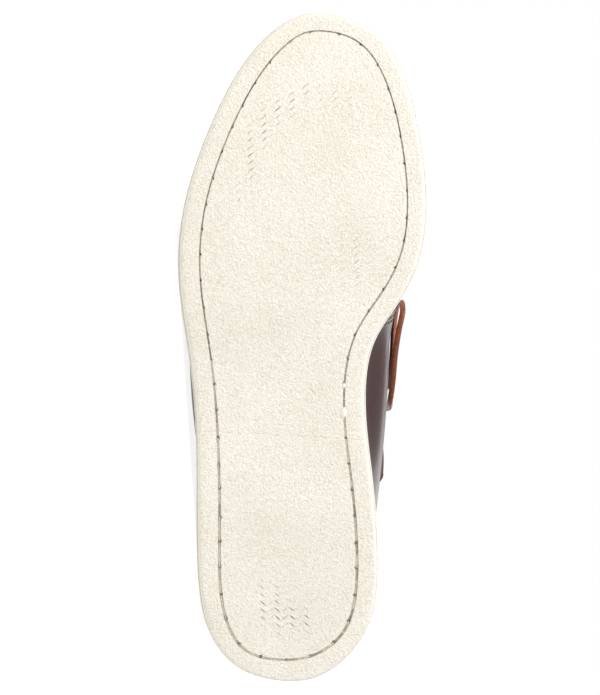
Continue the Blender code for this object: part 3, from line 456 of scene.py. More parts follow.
OUTLINE = Table(
    "walk lateral_along lateral_out medial_along medial_out",
    (0.000, 0.000, 0.000, 0.000, 0.000),
    (0.067, 0.014, 0.188, 0.014, -0.160),
    (0.133, 0.060, 0.312, 0.060, -0.289),
    (0.200, 0.128, 0.370, 0.125, -0.348),
    (0.267, 0.215, 0.393, 0.205, -0.345),
    (0.333, 0.315, 0.408, 0.290, -0.316),
    (0.400, 0.405, 0.430, 0.370, -0.278),
    (0.467, 0.485, 0.467, 0.445, -0.258),
    (0.533, 0.555, 0.507, 0.515, -0.285),
    (0.600, 0.625, 0.529, 0.575, -0.376),
    (0.667, 0.705, 0.515, 0.645, -0.457),
    (0.733, 0.785, 0.462, 0.730, -0.472),
    (0.800, 0.865, 0.380, 0.820, -0.434),
    (0.867, 0.932, 0.280, 0.902, -0.368),
    (0.933, 0.980, 0.158, 0.975, -0.230),
    (1.000, 1.000, 0.000, 1.000, 0.000),
)
WALL_LEVELS = Table(
    "walk feather_lat feather_med bulge_rise bulge_lat bulge_med seam_rise seam_lat seam_med",
    (0.000, 0.042, 0.042, 0.300, 0.026, 0.026, 0.530, 0.042, 0.042),
    (0.133, 0.042, 0.040, 0.300, 0.030, 0.028, 0.520, 0.052, 0.048),
    (0.267, 0.036, 0.030, 0.300, 0.022, 0.008, 0.480, 0.050, 0.028),
    (0.333, 0.028, 0.022, 0.330, -0.006, -0.038, 0.500, 0.022, -0.024),
    (0.400, 0.022, 0.016, 0.360, -0.024, -0.087, 0.540, 0.016, -0.071),
    (0.467, 0.024, 0.014, 0.370, -0.010, -0.109, 0.590, 0.048, -0.074),
    (0.533, 0.034, 0.018, 0.340, 0.016, -0.084, 0.620, 0.104, 0.000),
    (0.600, 0.042, 0.034, 0.300, 0.038, -0.010, 0.570, 0.152, 0.084),
    (0.667, 0.046, 0.044, 0.265, 0.052, 0.036, 0.490, 0.172, 0.142),
    (0.733, 0.048, 0.048, 0.235, 0.055, 0.050, 0.420, 0.170, 0.166),
    (0.867, 0.052, 0.052, 0.180, 0.058, 0.058, 0.310, 0.156, 0.160),
    (1.000, 0.054, 0.054, 0.155, 0.060, 0.060, 0.262, 0.150, 0.150),
)
TOP_EDGE = Table(
    "walk along rise ridge lateral_half medial_half",
    (0.000, 0.026, 0.760, 0.000, 0.000, 0.000),
    (0.067, 0.034, 0.752, 0.004, 0.140, -0.132),
    (0.133, 0.066, 0.720, 0.010, 0.234, -0.226),
    (0.200, 0.120, 0.665, 0.014, 0.280, -0.276),
    (0.267, 0.190, 0.620, 0.018, 0.302, -0.298),
    (0.333, 0.268, 0.615, 0.024, 0.318, -0.312),
    (0.400, 0.345, 0.675, 0.030, 0.308, -0.300),
    (0.467, 0.408, 0.810, 0.030, 0.250, -0.244),
    (0.533, 0.460, 0.955, 0.028, 0.190, -0.184),
    (0.600, 0.520, 0.950, 0.022, 0.158, -0.152),
    (0.667, 0.590, 0.855, 0.012, 0.135, -0.130),
    (0.733, 0.660, 0.755, 0.000, 0.110, -0.110),
    (0.800, 0.730, 0.654, -0.008, 0.080, -0.080),
    (0.867, 0.798, 0.549, -0.012, 0.050, -0.050),
    (0.933, 0.862, 0.441, -0.010, 0.022, -0.022),
    (1.000, 0.910, 0.346, -0.006, 0.000, 0.000),
)


def closed_spline(keys, values, period, at):
    """A twice smooth closed curve through values at keys, read at the places given."""
    count = len(keys)
    steps = np.diff(np.append(keys, keys[0] + period))
    slopes = np.diff(np.append(values, values[0])) / steps
    matrix = np.zeros((count, count))
    right = np.zeros(count)
    for i in range(count):
        matrix[i, i - 1] += steps[i - 1]
        matrix[i, i] += 2 * (steps[i - 1] + steps[i])
        matrix[i, (i + 1) % count] += steps[i]
        right[i] = 6 * (slopes[i] - slopes[i - 1])
    bend = np.linalg.solve(matrix, right)
    where = np.mod(np.asarray(at, float), period)
    i = np.clip(np.searchsorted(keys, where, side="right") - 1, 0, count - 1)
    j = (i + 1) % count
    step = steps[i]
    ahead = where - keys[i]
    behind = step - ahead
    return (
        (bend[i] * behind**3 + bend[j] * ahead**3) / (6 * step)
        + (values[i] / step - bend[i] * step / 6) * behind
        + (values[j] / step - bend[j] * step / 6) * ahead
    )


def smoothstep(low, high, at):
    share = np.clip((np.asarray(at, float) - low) / (high - low), 0, 1)
    return share * share * (3 - 2 * share)


print("the last is", LENGTH * 1000, "mm long on a sole", BALL_WIDTH * 1000, "mm wide at the ball")


# %% The sole's heights and outline
def tread_height(along):
    lift = np.clip((along - TOE_FLAT_END) / (1 - TOE_FLAT_END), 0, 1)
    arch = np.clip((along - ARCH_SPAN[0]) / (ARCH_SPAN[1] - ARCH_SPAN[0]), 0, 1)
    return TOE_SPRING * lift**2 + ARCH_RISE * np.sin(np.pi * arch) ** 2


def seat_height(along):
    wedge = smoothstep(*WEDGE_SPAN, along)
    toe = smoothstep(WEDGE_SPAN[1], 1.0, along)
    stack = HEEL_STACK + (BALL_STACK - HEEL_STACK) * wedge + (TOE_STACK - BALL_STACK) * toe
    lift = np.clip((along - TOE_FLAT_END) / (1 - TOE_FLAT_END), 0, 1)
    return stack + TOE_SPRING * lift**2


def outline_place(walk):
    along = OUTLINE.ring("lateral_along", "medial_along", walk) * LENGTH
    out = OUTLINE.ring("lateral_out", "medial_out", walk) * BALL_WIDTH
    return np.stack([out, along], axis=-1)


def outline(walk):
    """The sole's outline at walk, and its outward direction, both in plan."""
    run = unit(outline_place(walk + 1e-3) - outline_place(walk - 1e-3))
    return outline_place(walk), np.stack([run[..., 1], -run[..., 0]], axis=-1)


# %% The upper's sections, from feather edge to top edge
THROAT_ROUND_START = 0.615
THROAT_FRONT = 0.690
COLLAR_END = 0.44
CREST_START = 0.56
RIDGE_SLOPE_RUN = 0.12
QUARTER_FRONT = 0.620
QUARTER_LEAN = 0.120
QUARTER_LEAN_LEVEL = 0.5
LEAN_REACH = 0.36
FEATHER, SEAM, TOP = 0.0, 2.0, 3.0  # levels of a section; the bulge is at 1


def inside_outline(walk, inset, rise):
    edge, outward = outline(walk)
    flat = edge - outward * inset[..., None]
    height = seat_height(flat[..., 1] / LENGTH) + rise
    return np.concatenate([flat, height[..., None]], axis=-1)


def ridge_or_edge(walk):
    """The collar, then the throat's edge, then the ridge over the toes, where both sides meet."""
    side = np.minimum(walk, 2 - walk)
    round_off = np.clip((side - THROAT_ROUND_START) / (THROAT_FRONT - THROAT_ROUND_START), 0, 1)
    half = TOP_EDGE.ring("lateral_half", "medial_half", walk) * np.sqrt(1 - round_off**2)
    along = TOP_EDGE.ring("along", "along", walk)
    x = (TOP_EDGE.ring("ridge", "ridge", walk) + half) * BALL_WIDTH
    z = seat_height(along) + TOP_EDGE.ring("rise", "rise", walk) * UPPER_HEIGHT
    return np.stack([x, along * LENGTH, z], axis=-1)


def ridge_slope(side):
    step = ridge_or_edge(side) - ridge_or_edge(side - RIDGE_SLOPE_RUN)
    return np.where(side > COLLAR_END, step[..., 2] / np.maximum(step[..., 1], 1e-4), 0)


def leaned(walk, level):
    """Walk shifted so that a column of the wall leans forward as the quarter's front edge does."""
    side = np.minimum(walk, 2 - walk)
    reach = np.clip(np.abs(side - QUARTER_FRONT) / LEAN_REACH, 0, 1)
    shift = QUARTER_LEAN * (level / TOP - QUARTER_LEAN_LEVEL) * (1 - reach**2) ** 2
    return np.where(walk <= 1, walk + shift, walk - shift)


def section_knots(walk):
    """Feather, bulge, seam and top edge of the section at walk, and a ghost beyond each end."""
    ring = WALL_LEVELS.ring
    feather = inside_outline(walk, ring("feather_lat", "feather_med", walk) * BALL_WIDTH, CLEARANCE)
    bulge_rise = ring("bulge_rise", "bulge_rise", walk) * UPPER_HEIGHT
    bulge = inside_outline(walk, ring("bulge_lat", "bulge_med", walk) * BALL_WIDTH, bulge_rise)
    seam_rise = ring("seam_rise", "seam_rise", walk) * UPPER_HEIGHT
    seam = inside_outline(walk, ring("seam_lat", "seam_med", walk) * BALL_WIDTH, seam_rise)
    top = ridge_or_edge(walk)
    below = 2 * feather - bulge
    below[..., :2] = bulge[..., :2]
    side = np.minimum(walk, 2 - walk)
    crest = smoothstep(COLLAR_END, CREST_START, side)[..., None]
    onward = 2 * top - seam
    over = onward.copy()
    over[..., 2] = seam[..., 2] + ridge_slope(side) * (onward[..., 1] - seam[..., 1])
    return [below, feather, bulge, seam, top, onward * (1 - crest) + over * crest]


def smooth_between(start, leave, end, arrive, share):
    """A smooth stretch from start to end that leaves and arrives in given directions."""
    square, cube = share**2, share**3
    return (
        start * (2 * cube - 3 * square + 1)
        + leave * (cube - 2 * square + share)
        + end * (3 * square - 2 * cube)
        + arrive * (cube - square)
    )


def along_section(knots, level):
    """The smooth section curve through its knots, read at a level."""
    stacked = np.stack(knots)
    i = np.clip(np.floor(level).astype(int), 0, int(TOP) - 1)
    share = (level - i)[..., None]
    columns = np.arange(stacked.shape[1])
    before, start, end, after = (stacked[i + k, columns] for k in range(4))
    first = np.linalg.norm(start - before, axis=-1, keepdims=True)
    middle = np.linalg.norm(end - start, axis=-1, keepdims=True)
    last = np.linalg.norm(after - end, axis=-1, keepdims=True)
    leave = ((start - before) / first - (end - before) / (first + middle)) * middle + end - start
    arrive = ((after - end) / last - (after - start) / (middle + last)) * middle + end - start
    return smooth_between(start, leave, end, arrive, share)


def last_point(column, level):
    column = np.asarray(column, float)
    level = np.broadcast_to(np.asarray(level, float), column.shape)
    return along_section(section_knots(leaned(column, level)), level)


def last_normal(column, level):
    small = 2e-3
    low, high = np.maximum(level - small, FEATHER), np.minimum(level + small, TOP)
    around = last_point(column + small, level) - last_point(column - small, level)
    return unit(np.cross(around, last_point(column, high) - last_point(column, low)))


def level_beside(column, level, distance):
    """The level that lies a distance up the section from a whole level."""
    knots = section_knots(leaned(column, np.full(np.shape(column), level)))
    near = int(level) + 1
    far = near + (1 if np.all(distance > 0) else -1)
    return level + distance / np.linalg.norm(knots[far] - knots[near], axis=-1)


def column_under(top_walk):
    """The column whose top end is at a walk of the top edge, on the outer side."""
    fine = np.linspace(0, 1, 2001)
    return np.interp(top_walk, leaned(fine, TOP), fine)


crown = ridge_or_edge(np.array([THROAT_FRONT]))[0]
print("the throat ends", [round(v * 1000, 1) for v in crown], "mm along the shoe")

# %% [markdown]
# ## Cream siped rubber
# A deck sole is moulded from pale crepe-like rubber, which is matt and slightly warm. The mould
# leaves a fine pebble on it, which is bump alone, because it is far finer than the mesh. Its
# sipes are razor cuts in a zigzag, and they are real grooves. A mark on them paints the finish
# darker inside: painted shade, as falls in the cuts, and the same mark paints shade in the stitch
# channel and the sidewall's groove. The sidewall has a mark too, for its even, unworn tone. A
# few specks of dust stick to the sole, and where the two halves of the mould met, a faint line
# crosses the waist.

# %% Moulded rubber: no metal, rough, with a pebble of about a millimetre
CLOUD_MM = 38.0
FLECK_MM = 1.1
PEBBLE_MM = 0.95
GRAIN_MM = 0.85
SPECK_MM = 21.0
MOULD_LINE_ALONG = 0.1083
MOULD_LINE_HALF = 0.0005


def make_rubber_finish():
    finish, tree, shader, place = new_finish(
        "cream moulded rubber",
        {
            "Roughness": 0.62,
            "Subsurface Weight": 0.05,
            "Subsurface Radius": (0.0008, 0.0006, 0.0004),
            "Subsurface Scale": 0.5,
        },
    )
    cloud = add_node(tree, "TexNoise", "Fac", sized(place, CLOUD_MM, Detail=3.0))
    tones = ((0.30, "D0CBC0"), (0.52, "D5D0C6"), (0.74, "D8D4CB"))
    body = add_node(tree, "ValToRGB", "Color", {"Fac": cloud}, tones)
    fleck = add_node(tree, "TexNoise", "Fac", sized(place, FLECK_MM, Detail=2.0))
    tint = add_node(tree, "ValToRGB", "Color", {"Fac": fleck}, ((0.34, "F4F1EA"), (0.56, "FFFFFF")))
    dust = add_node(tree, "TexVoronoi", "Distance", sized(place, SPECK_MM))
    dots = ((0.009, "6E6457"), (0.013, "FFFFFF"))
    specks = add_node(tree, "ValToRGB", "Color", {"Fac": dust}, dots)
    flecked = add_node(tree, "Mix", 2, {0: 1.0, 6: body, 7: tint}, **COLOUR_MULTIPLY)
    grained = add_node(tree, "Mix", 2, {0: 0.8, 6: flecked, 7: specks}, **COLOUR_MULTIPLY)
    side = add_node(tree, "Attribute", "Fac", attribute_name="side")
    clean = add_node(tree, "Mix", 2, {0: side, 6: grained, 7: linear("D6D1C6")}, **COLOUR_MIX)
    # painted shade: the cut mark mixes dark brown-grey into the sipes, the stitch channel and its
    # lips, and the sidewall's groove
    cut = add_node(tree, "Attribute", "Fac", attribute_name="cut")
    colour = add_node(tree, "Mix", 2, {0: cut, 6: clean, 7: linear("5E5346")}, **COLOUR_MIX)
    along = add_node(
        tree, "VectorMath", "Value", {0: place, 1: tuple(toeward)}, operation="DOT_PRODUCT"
    )
    line_at = float(HEEL_BACK @ toeward) + MOULD_LINE_ALONG
    off = add_node(tree, "Math", 0, {0: along, 1: line_at}, operation="SUBTRACT")
    away = add_node(tree, "Math", 0, {0: off}, operation="ABSOLUTE")
    ridge = {"Value": away, "From Max": MOULD_LINE_HALF, "To Min": 0.0, "To Max": 1.0}
    line = add_node(tree, "MapRange", 0, ridge)
    pebble = add_node(tree, "TexVoronoi", "Distance", sized(place, PEBBLE_MM, Randomness=1.0))
    soft = add_node(tree, "TexNoise", "Fac", sized(place, GRAIN_MM, Detail=2.0, Roughness=0.7))
    relief = add_node(tree, "Bump", "Normal", {"Height": pebble, "Distance": 0.24 * MM})
    for height, depth in ((soft, 0.72 * MM), (line, 0.12 * MM)):
        sockets = {"Height": height, "Distance": depth, "Normal": relief}
        relief = add_node(tree, "Bump", "Normal", sockets)
    wire(tree, shader, {"Base Color": colour, "Normal": relief})
    return finish


rubber = make_rubber_finish()
print("finish:", rubber.name)

# %% [markdown]
# ## The tread's sipes
# The sipes could be cut with booleans, but hundreds of cuts would leave a ragged mesh. A net
# whose points lie on them stays clean. The tread is a field of rows across the sole. Each row
# that is a sipe has three lines of points, two lips and a floor, and they follow the same
# zigzag. The mould lay a little askew, so the rows lean by about five degrees. Rows stand 3.4
# mm apart, and the zigzag's corners 3.2 mm. The points stand on the corners, so the strokes
# stay straight. How far a cut gapes is a sum of soft patches, one for each column of strokes
# that the photograph shows.

# %% Rows, zigzag and where the cuts gape
SIPE_HALF_PERIOD = 0.00318
SIPE_CORNER_OUT = -0.0032
SIPE_CORNER_ALONG = 0.028
SIPE_LEAN = 0.0955
SIPE_SWING = 0.0026
SIPE_GAPE = 0.00032
SIPE_DEPTH = 0.0007
SIPE_SPLITS = 3
SIPE_FIRST_ROW = 0.0008
ROW_PITCH_HEEL, ROW_PITCH_BALL = 0.00345, 0.00331
PITCH_CHANGE = (0.10, 0.15)
BARE_MIDDLE, BARE_HALF, BARE_FADE = 0.1085, 0.017, 0.008
SHUT_GAPE = 0.07
AGAINST_THE_LEAN = 0.15
CHANCE_SHARE = 0.45
STROKE_FULLNESS = 0.6
GAPING_PATCHES = Table(
    "out along width length strength leaning",
    (0.0116, 0.036, 0.0026, 0.0110, 1.00, 1.0),
    (0.0050, 0.032, 0.0026, 0.0100, 1.25, 1.0),
    (-0.0016, 0.028, 0.0026, 0.0055, 1.30, 1.0),
    (-0.0078, 0.028, 0.0026, 0.0048, 1.00, 1.0),
    (0.0015, 0.029, 0.0070, 0.0036, 0.60, -1.0),
    (0.0048, 0.2615, 0.0026, 0.0035, 0.85, -1.0),
    (0.0103, 0.2554, 0.0026, 0.0055, 1.05, -1.0),
    (0.0166, 0.2520, 0.0026, 0.0065, 1.05, -1.0),
    (0.0222, 0.2439, 0.0026, 0.0080, 1.00, -1.0),
    (0.0279, 0.2306, 0.0026, 0.0120, 0.95, -1.0),
    (0.0325, 0.2170, 0.0030, 0.0070, 0.35, -1.0),
    (-0.0215, 0.1880, 0.0075, 0.0150, 0.42, -1.0),
    (-0.0050, 0.2600, 0.0080, 0.0050, 0.40, -1.0),
    (-0.0142, 0.2565, 0.0060, 0.0050, 0.30, -1.0),
    (0.0100, 0.1700, 0.0300, 0.0400, 0.12, -1.0),
)


def hashed(a, b):
    """A number from 0 to 1 that looks random and is always the same for the same pair."""
    return np.mod(np.sin(a * 12.9898 + b * 78.233) * 43758.5453, 1.0)


def row_places(low, high):
    """Where the sipes cross the sole's middle."""
    places, at = [], low
    while at < high:
        places.append(at)
        change = float(smoothstep(*PITCH_CHANGE, at))
        at += ROW_PITCH_HEEL + (ROW_PITCH_BALL - ROW_PITCH_HEEL) * change
    return np.array(places)


def corner_places(at):
    """The zigzag's first corner in a row, which leans with the mould."""
    return SIPE_CORNER_OUT + SIPE_LEAN * (at - SIPE_CORNER_ALONG)


def zigzag(out, at):
    """The zigzag's offset along the shoe, from -1 to 1, and how far along its stroke a point is."""
    strokes = (out - corner_places(at)) / SIPE_HALF_PERIOD
    stroke = np.floor(strokes + 1e-6)
    share = strokes - stroke
    rising = np.mod(stroke, 2) == 0
    offset = np.where(rising, 2 * share - 1, 1 - 2 * share)
    return offset, stroke, share, np.where(rising, 1.0, -1.0)


def gape(out, along, at):
    """How far a cut gapes at a place, from 0 to 1."""
    _, stroke, share, leaning = zigzag(out, at)
    found = np.full(np.shape(out), SHUT_GAPE)
    for x, y, width, length, strength, way in GAPING_PATCHES.rows():
        near = np.exp(-(((out - x) / width) ** 2) - ((along - y) / length) ** 2)
        found = found + strength * near * np.where(leaning == way, 1.0, AGAINST_THE_LEAN)
    chance = hashed(stroke, round(at * 1e4))
    stroke_shape = np.sin(np.pi * np.clip(share, 0, 1)) ** STROKE_FULLNESS
    found = found * (1 - CHANCE_SHARE + CHANCE_SHARE * chance) * stroke_shape
    bare = smoothstep(BARE_HALF, BARE_HALF + BARE_FADE, np.abs(along - BARE_MIDDLE))
    return np.clip(found * bare, 0, 1)


rows = row_places(SIPE_FIRST_ROW, LENGTH)
print(len(rows), "rows of sipes, from", rows[0].round(4), "to", rows[-1].round(4), "m along")

# %% [markdown]
# ## The outsole
# The sole is one moulding, 296 mm long: the siped field, a channel for the stitches, a plain
# margin, a soft lower edge, and a sidewall with a groove along it. The channel is open at the
# heel, where thread shows in it, and closes to a crack round the forefoot. Where the needle
# went through, its inner lip is nicked. All of that runs round the sole, so it is made as
# rings. The field's rows end on the first ring, a coarse one. The others have places half a
# millimetre apart, and a strip of many-cornered faces joins the coarse ring to the fine.

# %% Rings round the sole
SOLE_FLARE = 0.0016
TREAD_EDGE = 0.0012
SIDE_LINE_LEVEL = 0.56
SIDE_LINE_DEPTH = 0.0006
SIDE_LINE_HALF = 0.05
SIDE_LINE_LIP = 0.02
# painted shade in the sidewall's groove
SIDE_LINE_SHADE = 0.25
MARGIN_INSETS = (0.0045, 0.0028)
SEAT_INSETS = (0.0040, 0.0075)
CHANNEL_WIDTHS = Table(
    "walk width",
    (0.00, 0.00105), (0.10, 0.00130), (0.30, 0.00130), (0.42, 0.00100),
    (0.62, 0.00085), (1.00, 0.00085), (1.38, 0.00092), (1.50, 0.00098),
    (1.66, 0.00120), (1.90, 0.00130),
)
CHANNEL_DEPTH = 0.0006
CHANNEL_INSET = Table(
    "walk inset",
    (0.00, 0.0096), (0.06, 0.0085), (0.14, 0.0084), (0.20, 0.0086),
    (0.28, 0.0092), (0.36, 0.0086), (0.46, 0.0084), (0.60, 0.0084),
    (0.70, 0.0081), (0.86, 0.0081), (0.93, 0.0078), (0.97, 0.0076),
    (1.01, 0.0073), (1.04, 0.0071), (1.08, 0.0076), (1.12, 0.0077),
    (1.18, 0.0075), (1.30, 0.0074), (1.44, 0.0075), (1.52, 0.0081),
    (1.62, 0.0083), (1.72, 0.0081), (1.80, 0.0082), (1.88, 0.0083),
    (1.94, 0.0097),
)
FOREFOOT = (0.40, 0.55)
LIP_WIDTH = 0.0003
LIP_LIFT = 0.00003
BRIM_LIFT = 0.00016
BRIM_SHARE, FLOOR_SHARE = 0.86, 0.6
# painted shade on the channel's lips
LIP_SHADE = 0.12
CRACK_ROUGHNESS = 0.35
CRACK_WAVE = 0.0061
CRACK_STRAY, STRAY_RATE, CRACK_BEAT = 2.2, 310, 911
HOLE_SPREAD = 0.15
NEEDLE_PITCH = 0.0116
NEEDLE_JITTER = 0.0022
NICK_REACH = 0.00075
NICK_HALF = 0.00045
NICK_LEAST = 0.35
NICK_AT_BRIM, NICK_AT_FLOOR = 0.85, 0.4
FLOOR_SHADE = (0.10, 0.16, 0.75, 0.15)  # plain, ahead, beside a hole, rough
WALL_SHADE = (0.22, 0.5, 0.12)  # plain, beside a hole, rough and ahead
FINE_PITCH = 0.00052
TIP_STEPS = 26
FIELD_MARGIN = 0.0011
FIELD_END = 0.0022


def read_round(table, name, walk):
    return closed_spline(table.key, table.columns[name], 2.0, walk)


def inset_ring(walks, inset, height):
    edge, outward = outline(walks)
    flat = edge - outward * np.broadcast_to(inset, walks.shape)[:, None]
    return np.concatenate([flat, height(flat[:, 1] / LENGTH)[:, None]], axis=1)


def field_inset(walks):
    return read_round(CHANNEL_INSET, "inset", walks) + FIELD_MARGIN + NICK_REACH


def field_walks():
    """Walks of both sides where the field's leaning lines end, and the lines' own places."""
    fine = np.linspace(0, 1, 6001)
    found = []
    for walks in (fine, 2 - fine):
        ring = inset_ring(walks, field_inset(walks), tread_height)
        found.append(np.maximum.accumulate(ring[:, 1] + SIPE_LEAN * ring[:, 0]))
    low = max(side[0] for side in found) + FIELD_END
    high = min(side[-1] for side in found) - FIELD_END
    sipes = rows[(rows > low) & (rows < high)]
    lines = np.sort(np.concatenate([sipes, (sipes[1:] + sipes[:-1]) / 2]))
    return np.interp(lines, found[0], fine), 2 - np.interp(lines, found[1], fine), lines, sipes


def coarse_columns():
    """Places of the coarse ring: the lines' ends, and small steps round heel and toe."""
    outer, inner, lines, sipes = field_walks()
    heel_out = np.linspace(0, outer[0], TIP_STEPS)[:-1]
    toe = np.linspace(outer[-1], inner[-1], 2 * TIP_STEPS)[1:-1]
    heel_in = np.linspace(inner[0], 2, TIP_STEPS)[1:-1]
    return np.concatenate([heel_out, outer, toe, inner[::-1], heel_in]), len(heel_out), lines, sipes


def fine_columns(coarse):
    """Places of the fine rings, and where each coarse place is among them."""
    ends = np.append(coarse, 2.0)
    spots = outline_place(ends)
    fine, starts = [], []
    for a, b, run in zip(ends, ends[1:], np.linalg.norm(np.diff(spots, axis=0), axis=1)):
        starts.append(len(fine))
        fine += np.linspace(a, b, max(round(run / FINE_PITCH), 1), endpoint=False).tolist()
    return np.array(fine), starts


def walked_round(walks):
    """How far round the channel each place is, in metres."""
    fine = np.linspace(0, 2, 4001)
    walked = walked_along(inset_ring(fine, read_round(CHANNEL_INSET, "inset", fine), tread_height))
    return np.interp(walks, fine, walked), walked[-1]


def needle_holes(walks):
    """How near each place is to a needle hole, from 0 to 1, and the hole's number."""
    walked, whole = walked_round(walks)
    pitch = whole / round(whole / NEEDLE_PITCH)
    hole = np.round(walked / pitch)
    jitter = (hashed(hole, 3.0) - 0.5) * NEEDLE_JITTER
    return np.exp(-(((walked - hole * pitch - jitter) / NICK_HALF) ** 2)), hole


# %% Heights of the sole's rings
def mixed_height(share):
    return lambda along: tread_height(along) * (1 - share) + seat_height(along) * share


def lifted(base, rise):
    return lambda along: base(along) + rise


def channel_rings(walks):
    """Insets, heights and cut marks (painted shade) of the rings across the channel, from its inner
    lip out.
    """
    line = read_round(CHANNEL_INSET, "inset", walks)
    hole, number = needle_holes(walks)
    walked, _ = walked_round(walks)
    wander = walked * 2 * np.pi / CRACK_WAVE + CRACK_STRAY * np.sin(walked * STRAY_RATE)
    rough = 0.5 + 0.5 * np.sin(wander) * np.sin(walked * CRACK_BEAT)
    half = read_round(CHANNEL_WIDTHS, "width", walks) / 2
    forefoot = smoothstep(*FOREFOOT, np.minimum(walks, 2 - walks))
    half = half * (1 - CRACK_ROUGHNESS * forefoot * rough)
    reach = NICK_REACH * (NICK_LEAST + (1 - NICK_LEAST) * hashed(number, 8.0)) * hole
    beside = hole**HOLE_SPREAD
    # painted shade on the channel's floor and walls: darker at the forefoot, beside each needle
    # hole, and where the crack narrows
    plain, ahead, near, chance = FLOOR_SHADE
    open_floor = np.clip(plain + ahead * forefoot + near * beside + chance * rough, 0, 1)
    plain, near, ahead = WALL_SHADE
    wall = np.clip(plain + near * beside + ahead * forefoot * rough, 0, 1)
    floor = lifted(tread_height, CHANNEL_DEPTH)
    brim = lifted(tread_height, BRIM_LIFT)
    lip = lifted(tread_height, LIP_LIFT)
    return [
        (line + half + reach + LIP_WIDTH, tread_height, 0.0),
        (line + half + reach, lip, LIP_SHADE),
        (line + half * BRIM_SHARE + reach * NICK_AT_BRIM, brim, wall),
        (line + half * FLOOR_SHARE + reach * NICK_AT_FLOOR, floor, open_floor),
        (line - half * FLOOR_SHARE, floor, open_floor),
        (line - half * BRIM_SHARE, brim, wall),
        (line - half, lip, LIP_SHADE),
        (line - half - LIP_WIDTH, tread_height, 0.0),
    ]


def edge_rings():
    """Insets, heights and cut marks over the rounded edge and up the sidewall to the seat: painted
    shade in the groove.
    """
    corner = [math.radians(a) for a in (0, 22, 45, 68, 90)]
    low, high = SIDE_LINE_LEVEL - SIDE_LINE_HALF, SIDE_LINE_LEVEL + SIDE_LINE_HALF
    groove = -SOLE_FLARE * 0.5 + SIDE_LINE_DEPTH
    rings = [(inset, tread_height, 0.0) for inset in MARGIN_INSETS]
    for a in corner:
        height = lifted(tread_height, TREAD_EDGE * (1 - math.cos(a)))
        rings.append((TREAD_EDGE * (1 - math.sin(a)), height, 0.0))
    rings += [
        (-SOLE_FLARE * 0.3, mixed_height(0.30), 0.0),
        (-SOLE_FLARE * 0.5, mixed_height(low), 0.0),
        (groove, mixed_height(low + SIDE_LINE_LIP), SIDE_LINE_SHADE),
        (groove, mixed_height(high - SIDE_LINE_LIP), SIDE_LINE_SHADE),
        (-SOLE_FLARE * 0.8, mixed_height(high), 0.0),
        (-SOLE_FLARE, mixed_height(0.80), 0.0),
    ]
    for a in corner:
        height = lifted(seat_height, TREAD_EDGE * (math.sin(a) - 1))
        rings.append((-SOLE_FLARE + TREAD_EDGE * (1 - math.cos(a)), height, 0.0))
    return rings + [(inset, seat_height, 0.0) for inset in SEAT_INSETS]


def side_marks(count):
    """Marks of the rings for the sidewall: none on the tread, all from the rounded edge on."""
    edge = [0.0, 0.0, 0.0, 0.15, 0.45, 0.75, 1.0]
    return edge + [1.0] * (count - len(edge))


# %% Faces of a net of points
def sheet_faces(index):
    """Faces between the rows of an index that stays open."""
    rows = [index[:-1, :-1], index[:-1, 1:], index[1:, 1:], index[1:, :-1]]
    return np.stack(rows, axis=-1).reshape(-1, 4)


def grid_faces(index):
    """Faces between the rows of an index that closes round."""
    after = np.roll(index, -1, axis=1)
    return np.stack([index[:-1], after[:-1], after[1:], index[1:]], axis=-1).reshape(-1, 4)


# %% The siped field, line by line
SIPE_FADE = (0.0004, 0.0035)
ROWS_TO_FADE = 4
STRAIGHT_WITHIN = (0.002, 0.009)
SHUT_WIDTH = 0.06
DEPTH_GAIN, SHADE_GAIN = 1.8, 2.3
SPARE_POINTS = 24


def siped_field(ring, first, lines, sipes):
    """Rows of points from the outer side's ring to the inner side's, with a cut at each sipe."""
    count = len(lines)
    outer = ring[first : first + count]
    inner = ring[len(ring) - first + 1 - count : len(ring) - first + 1][::-1]
    step = SIPE_HALF_PERIOD / SIPE_SPLITS
    widest = math.ceil(BALL_WIDTH / 2 / step) + SPARE_POINTS
    is_sipe = np.isin(lines, sipes)
    nets, cuts = [], []
    for number, (at, left, right) in enumerate(zip(lines, outer, inner)):
        shift = round(float(corner_places(at) / step))
        grid = corner_places(at) + step * (np.arange(-widest, widest) - shift)
        out = np.clip(grid, right[0], left[0])
        ends = np.minimum(left[0] - out, out - right[0])
        last = smoothstep(0, ROWS_TO_FADE, min(number, count - 1 - number))
        fade = smoothstep(*SIPE_FADE, ends) * last
        straight = smoothstep(*STRAIGHT_WITHIN, abs(at - BARE_MIDDLE))
        along = at - SIPE_LEAN * out + (SIPE_SWING / 2) * zigzag(out, at)[0] * fade * straight
        opening = gape(out, at - SIPE_LEAN * out, at) * fade if is_sipe[number] else None
        for shift, depth in ((-1, 0), (0, 1), (1, 0)) if is_sipe[number] else ((0, 0),):
            y = along
            if is_sipe[number]:
                y = along + shift * SIPE_GAPE * (SHUT_WIDTH * fade + (1 - SHUT_WIDTH) * opening)
            z = tread_height(y / LENGTH)
            if depth:
                z = z + SIPE_DEPTH * np.minimum(opening * DEPTH_GAIN, 1)
            row = np.stack([out, y, z], axis=1)
            row[out >= left[0]] = left
            row[out <= right[0]] = right
            nets.append(row)
            # the cut mark: painted shade inside each sipe, darker where it gapes wider
            cuts.append(np.minimum(opening * SHADE_GAIN, 1) if depth else np.zeros(len(out)))
    width = 2 * widest
    faces = sheet_faces(np.arange(len(nets) * width).reshape(len(nets), width)).tolist()
    points, cuts, start = np.concatenate(nets), np.concatenate(cuts), len(nets) * width
    heel_tip = np.concatenate([ring[len(ring) - first :], ring[: first + 1]])
    toe_tip = ring[first + count - 1 : len(ring) - first - count + 2]
    for tip in (heel_tip, toe_tip):
        end = start + len(tip) - 1
        faces += [(start + k, start + k + 1, end - 1 - k, end - k) for k in range(len(tip) // 2)]
        start += len(tip)
    marks = np.concatenate([cuts, np.zeros(len(heel_tip) + len(toe_tip))])
    return np.concatenate([points, heel_tip, toe_tip]), faces, marks


